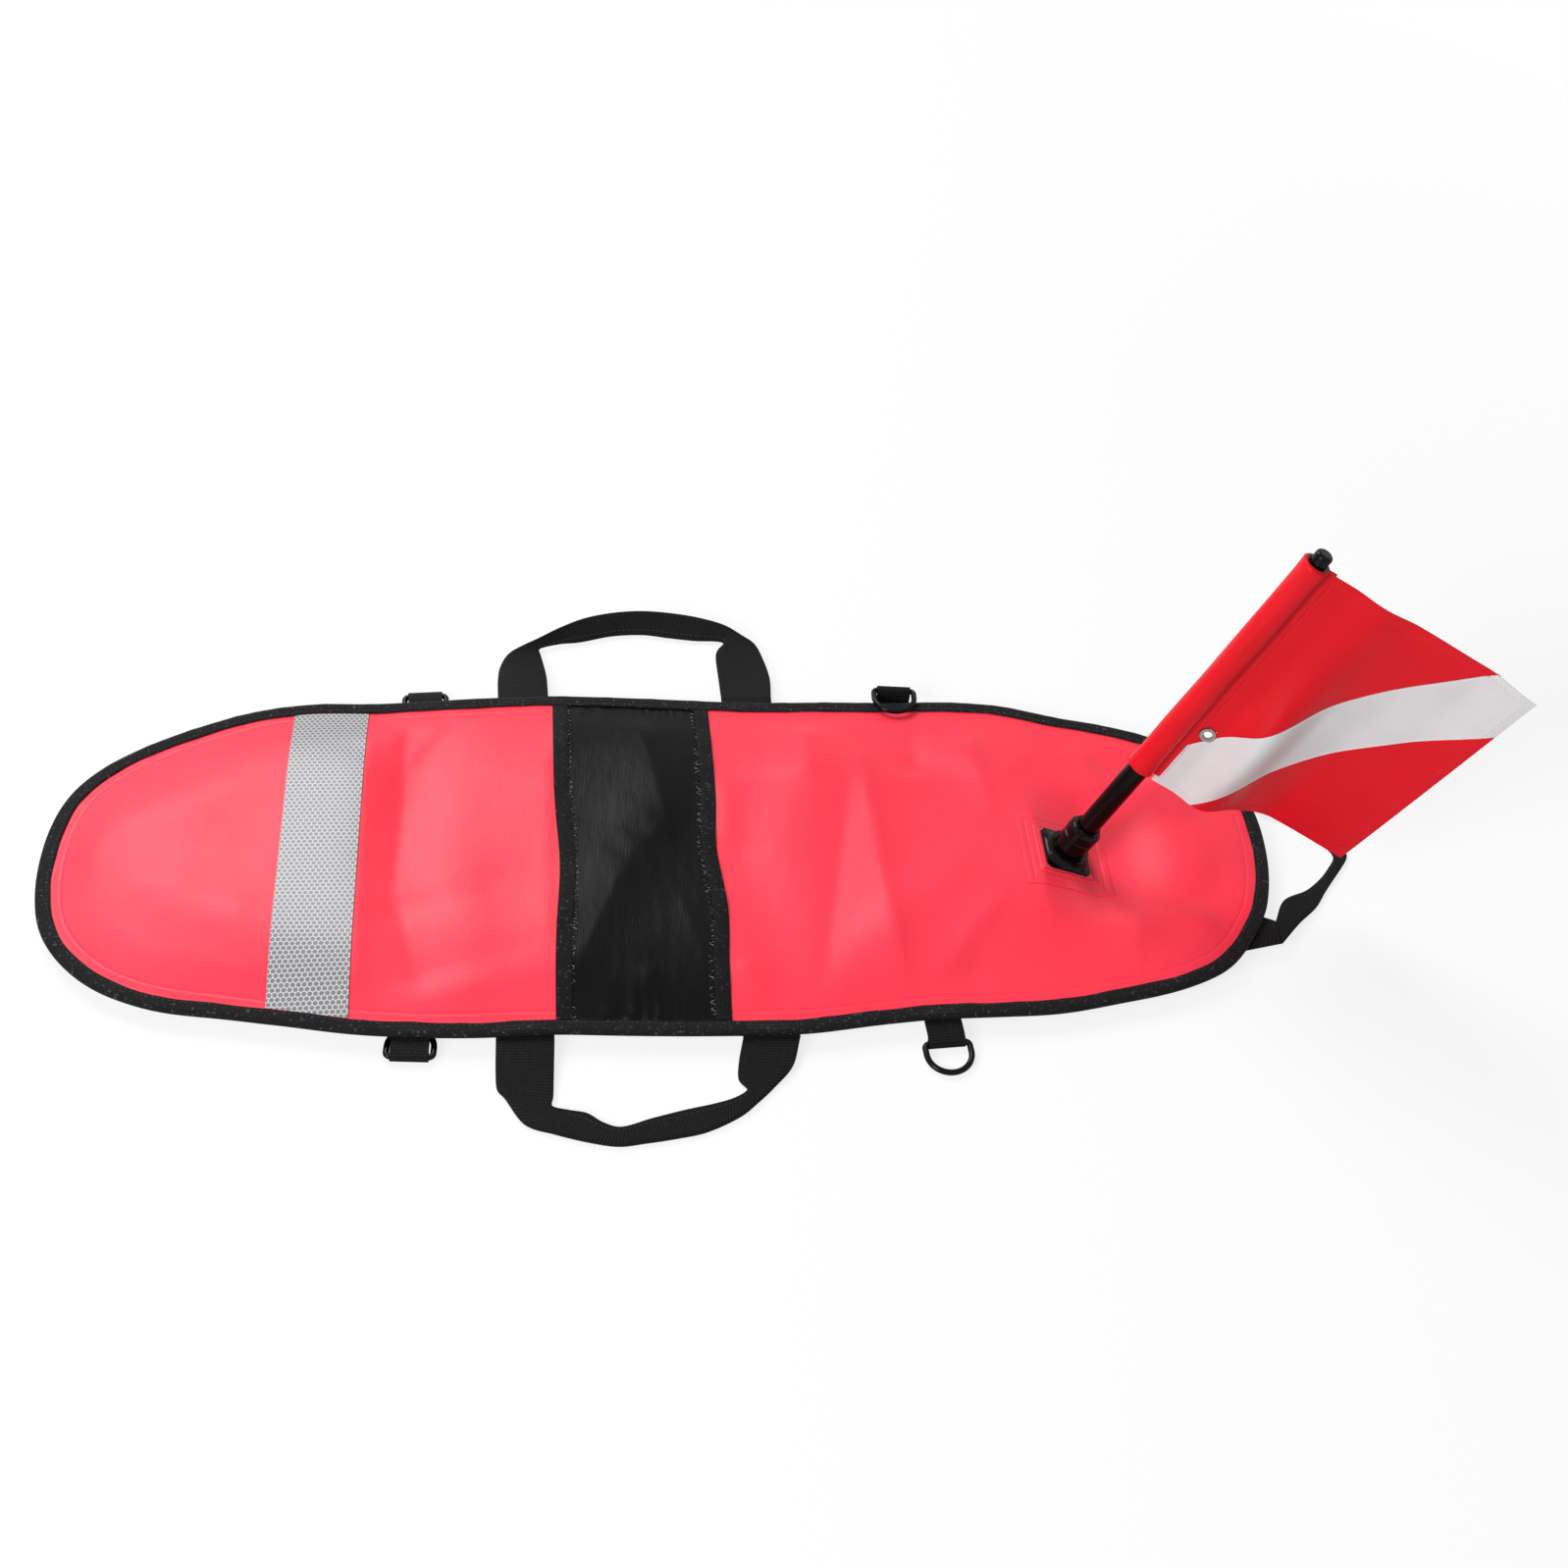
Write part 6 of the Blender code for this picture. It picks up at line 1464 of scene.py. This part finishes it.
# %% Sleeve
SLEEVE_BOTTOM, SLEEVE_TOP, SLEEVE_RADIUS, SLEEVE_CLOTH = 0.094, 0.2842, 0.00870, 0.00048
TAIL_OUT, TAIL_HALF = 0.0140, 0.00060
DRAWN_RISE, DRAWN_STEPS = (0.0006, 0.0009, 0.0010), (0.0004, 0.0014, 0.0024)
open_turn = math.asin(TAIL_HALF / SLEEVE_RADIUS) + math.radians(24)
levels = np.append(spaced(SLEEVE_BOTTOM, SLEEVE_TOP, 0.0022), SLEEVE_TOP + np.array(DRAWN_RISE))
drawn_in = np.append(np.zeros(len(levels) - len(DRAWN_RISE)), DRAWN_STEPS)
arc = np.linspace(open_turn, 2 * math.pi - open_turn, 54)
rows = []
for level, drawn in zip(levels, drawn_in):
    near_end = max(min(level - SLEEVE_BOTTOM, SLEEVE_TOP - level), 0.0)
    flare = 0.00035 * math.exp(-near_end / 0.004)
    slack = 0.00014 * np.sin(arc * 3 + level * 45) + 0.00008 * np.sin(arc * 5 - level * 90)
    hem = 0.00016 * (1 - smooth((near_end - 0.008) / 0.0008))
    radius = SLEEVE_RADIUS + flare + slack + hem - drawn
    loop = np.column_stack([radius * np.cos(arc), radius * np.sin(arc)])
    tail = np.linspace(TAIL_OUT, loop[0, 0] + 0.0010, 8)
    seam = np.column_stack([tail, TAIL_HALF + 0.00018 * np.sin(level * 300 + tail * 200)])
    rows.append(lifted(np.vstack([seam, loop, (seam * (1, -1))[::-1]]) @ FLAG_SPIN.T, level))
rows = np.stack(rows)
round_run = run_along(rows[0])
uv = np.stack(np.meshgrid(levels, round_run, indexing="ij"), axis=-1)
sleeve = cloth("mast_sleeve", to_world(rows), SLEEVE_CLOTH, FLAG_RED, uv=uv, offset=0.0, smooth_deg=60.0)
onto(sleeve, "flag", "flag_red", "flag_sleeve", flat=(float(round_run[-1]), SLEEVE_TOP - SLEEVE_BOTTOM),
     held="folded", rests_on=["mast_tube"])
print("sleeve:", round(float(round_run[-1]) * 1000, 1), "mm of cloth round the mast")


# %% [markdown]
# **Seams of the flag.** A double row down the sleeve, hems all round, and a zigzag along both sides of the
# stripe. Each row is sewn on both faces, since both can be seen when the flag turns.

# %% Flag stitches
def sew_flag(name, outs, ups, look, slot, pitch, lift, length=0.0, width=0.0):
    """A row of stitches on both faces of the flag: straight of one length, or a zigzag of one width."""
    path = even_points(np.column_stack(np.broadcast_arrays(outs, ups)), pitch)
    if width:
        heading = unit(np.gradient(path, axis=0))
        path = side_to_side(path, np.column_stack([-heading[:, 1], heading[:, 0]]), width)
    points, normals = (surface(path[:, 1], path[:, 0]) for surface in (flag_surface, flag_facing))
    rows = []
    for side in (-1, 1):
        line = to_world(points + normals * lift * side)
        step = np.diff(line, axis=0)
        rows.append((line[:-1], line[:-1] + (step if width else unit(step) * length)))
    ups = to_world(normals, True)[:-1]
    sew(name, rows, np.concatenate([ups, ups]), 0.00018, look, "flag", slot)


line = np.linspace(0, 1, 60)
reach = spaced(HOIST_OUT, FLAG_FLY - 0.004, 0.003)
for name, outs, ups, lift in (
        ("sleeve_seam", 0.0122, SLEEVE_BOTTOM + 0.001 + line * 0.188, 0.00088),
        ("hoist_seam", 0.0158, FLAG_BOTTOM + 0.001 + line * 0.193, 0.00026),
        ("top_hem", reach, FLAG_TOP - 0.0050, 0.00040),
        ("fly_hem", FLAG_FLY - 0.0050, FLAG_BOTTOM + 0.004 + line * 0.187, 0.00040),
        ("bottom_hem", reach, FLAG_BOTTOM + 0.0050, 0.00040)):
    sew_flag(name, outs, ups, RED_THREAD, "flag_red", 0.0030, lift, length=0.0022)
for name, start, stop, joint in (("upper_stripe_seam", HOIST_OUT, high_tip, STRIPE_HALF - 0.0010),
                                 ("lower_stripe_seam", low_tip, FLAG_FLY, 0.0010 - STRIPE_HALF)):
    outs = spaced(start, stop, 0.003)
    sew_flag(name, outs, stripe_middle(outs) + joint, WHITE_THREAD, "flag_white", 0.0012, 0.00028,
             width=0.0014)

# %% [markdown]
# ## Rigid CAD parts
# The socket, collar, tube, foot, cap, eyelet and valve are right as they are, so they stay, each with a
# finish that suits how it was made.

# %% Rigid CAD parts
for look, names in ((MOULDED, ("mast_socket", "socket_collar", "mast_cap", "mast_foot")),
                    (TUBE, ("mast_tube",)), (NICKEL, ("flag_eyelet",)),
                    (VALVE, ("valve_body", "valve_cap")), (RUBBER, ("valve_flap",))):
    for name in names:
        nodes[name].material_slots[0].material = look
    print(look.name + ":", ", ".join(names))
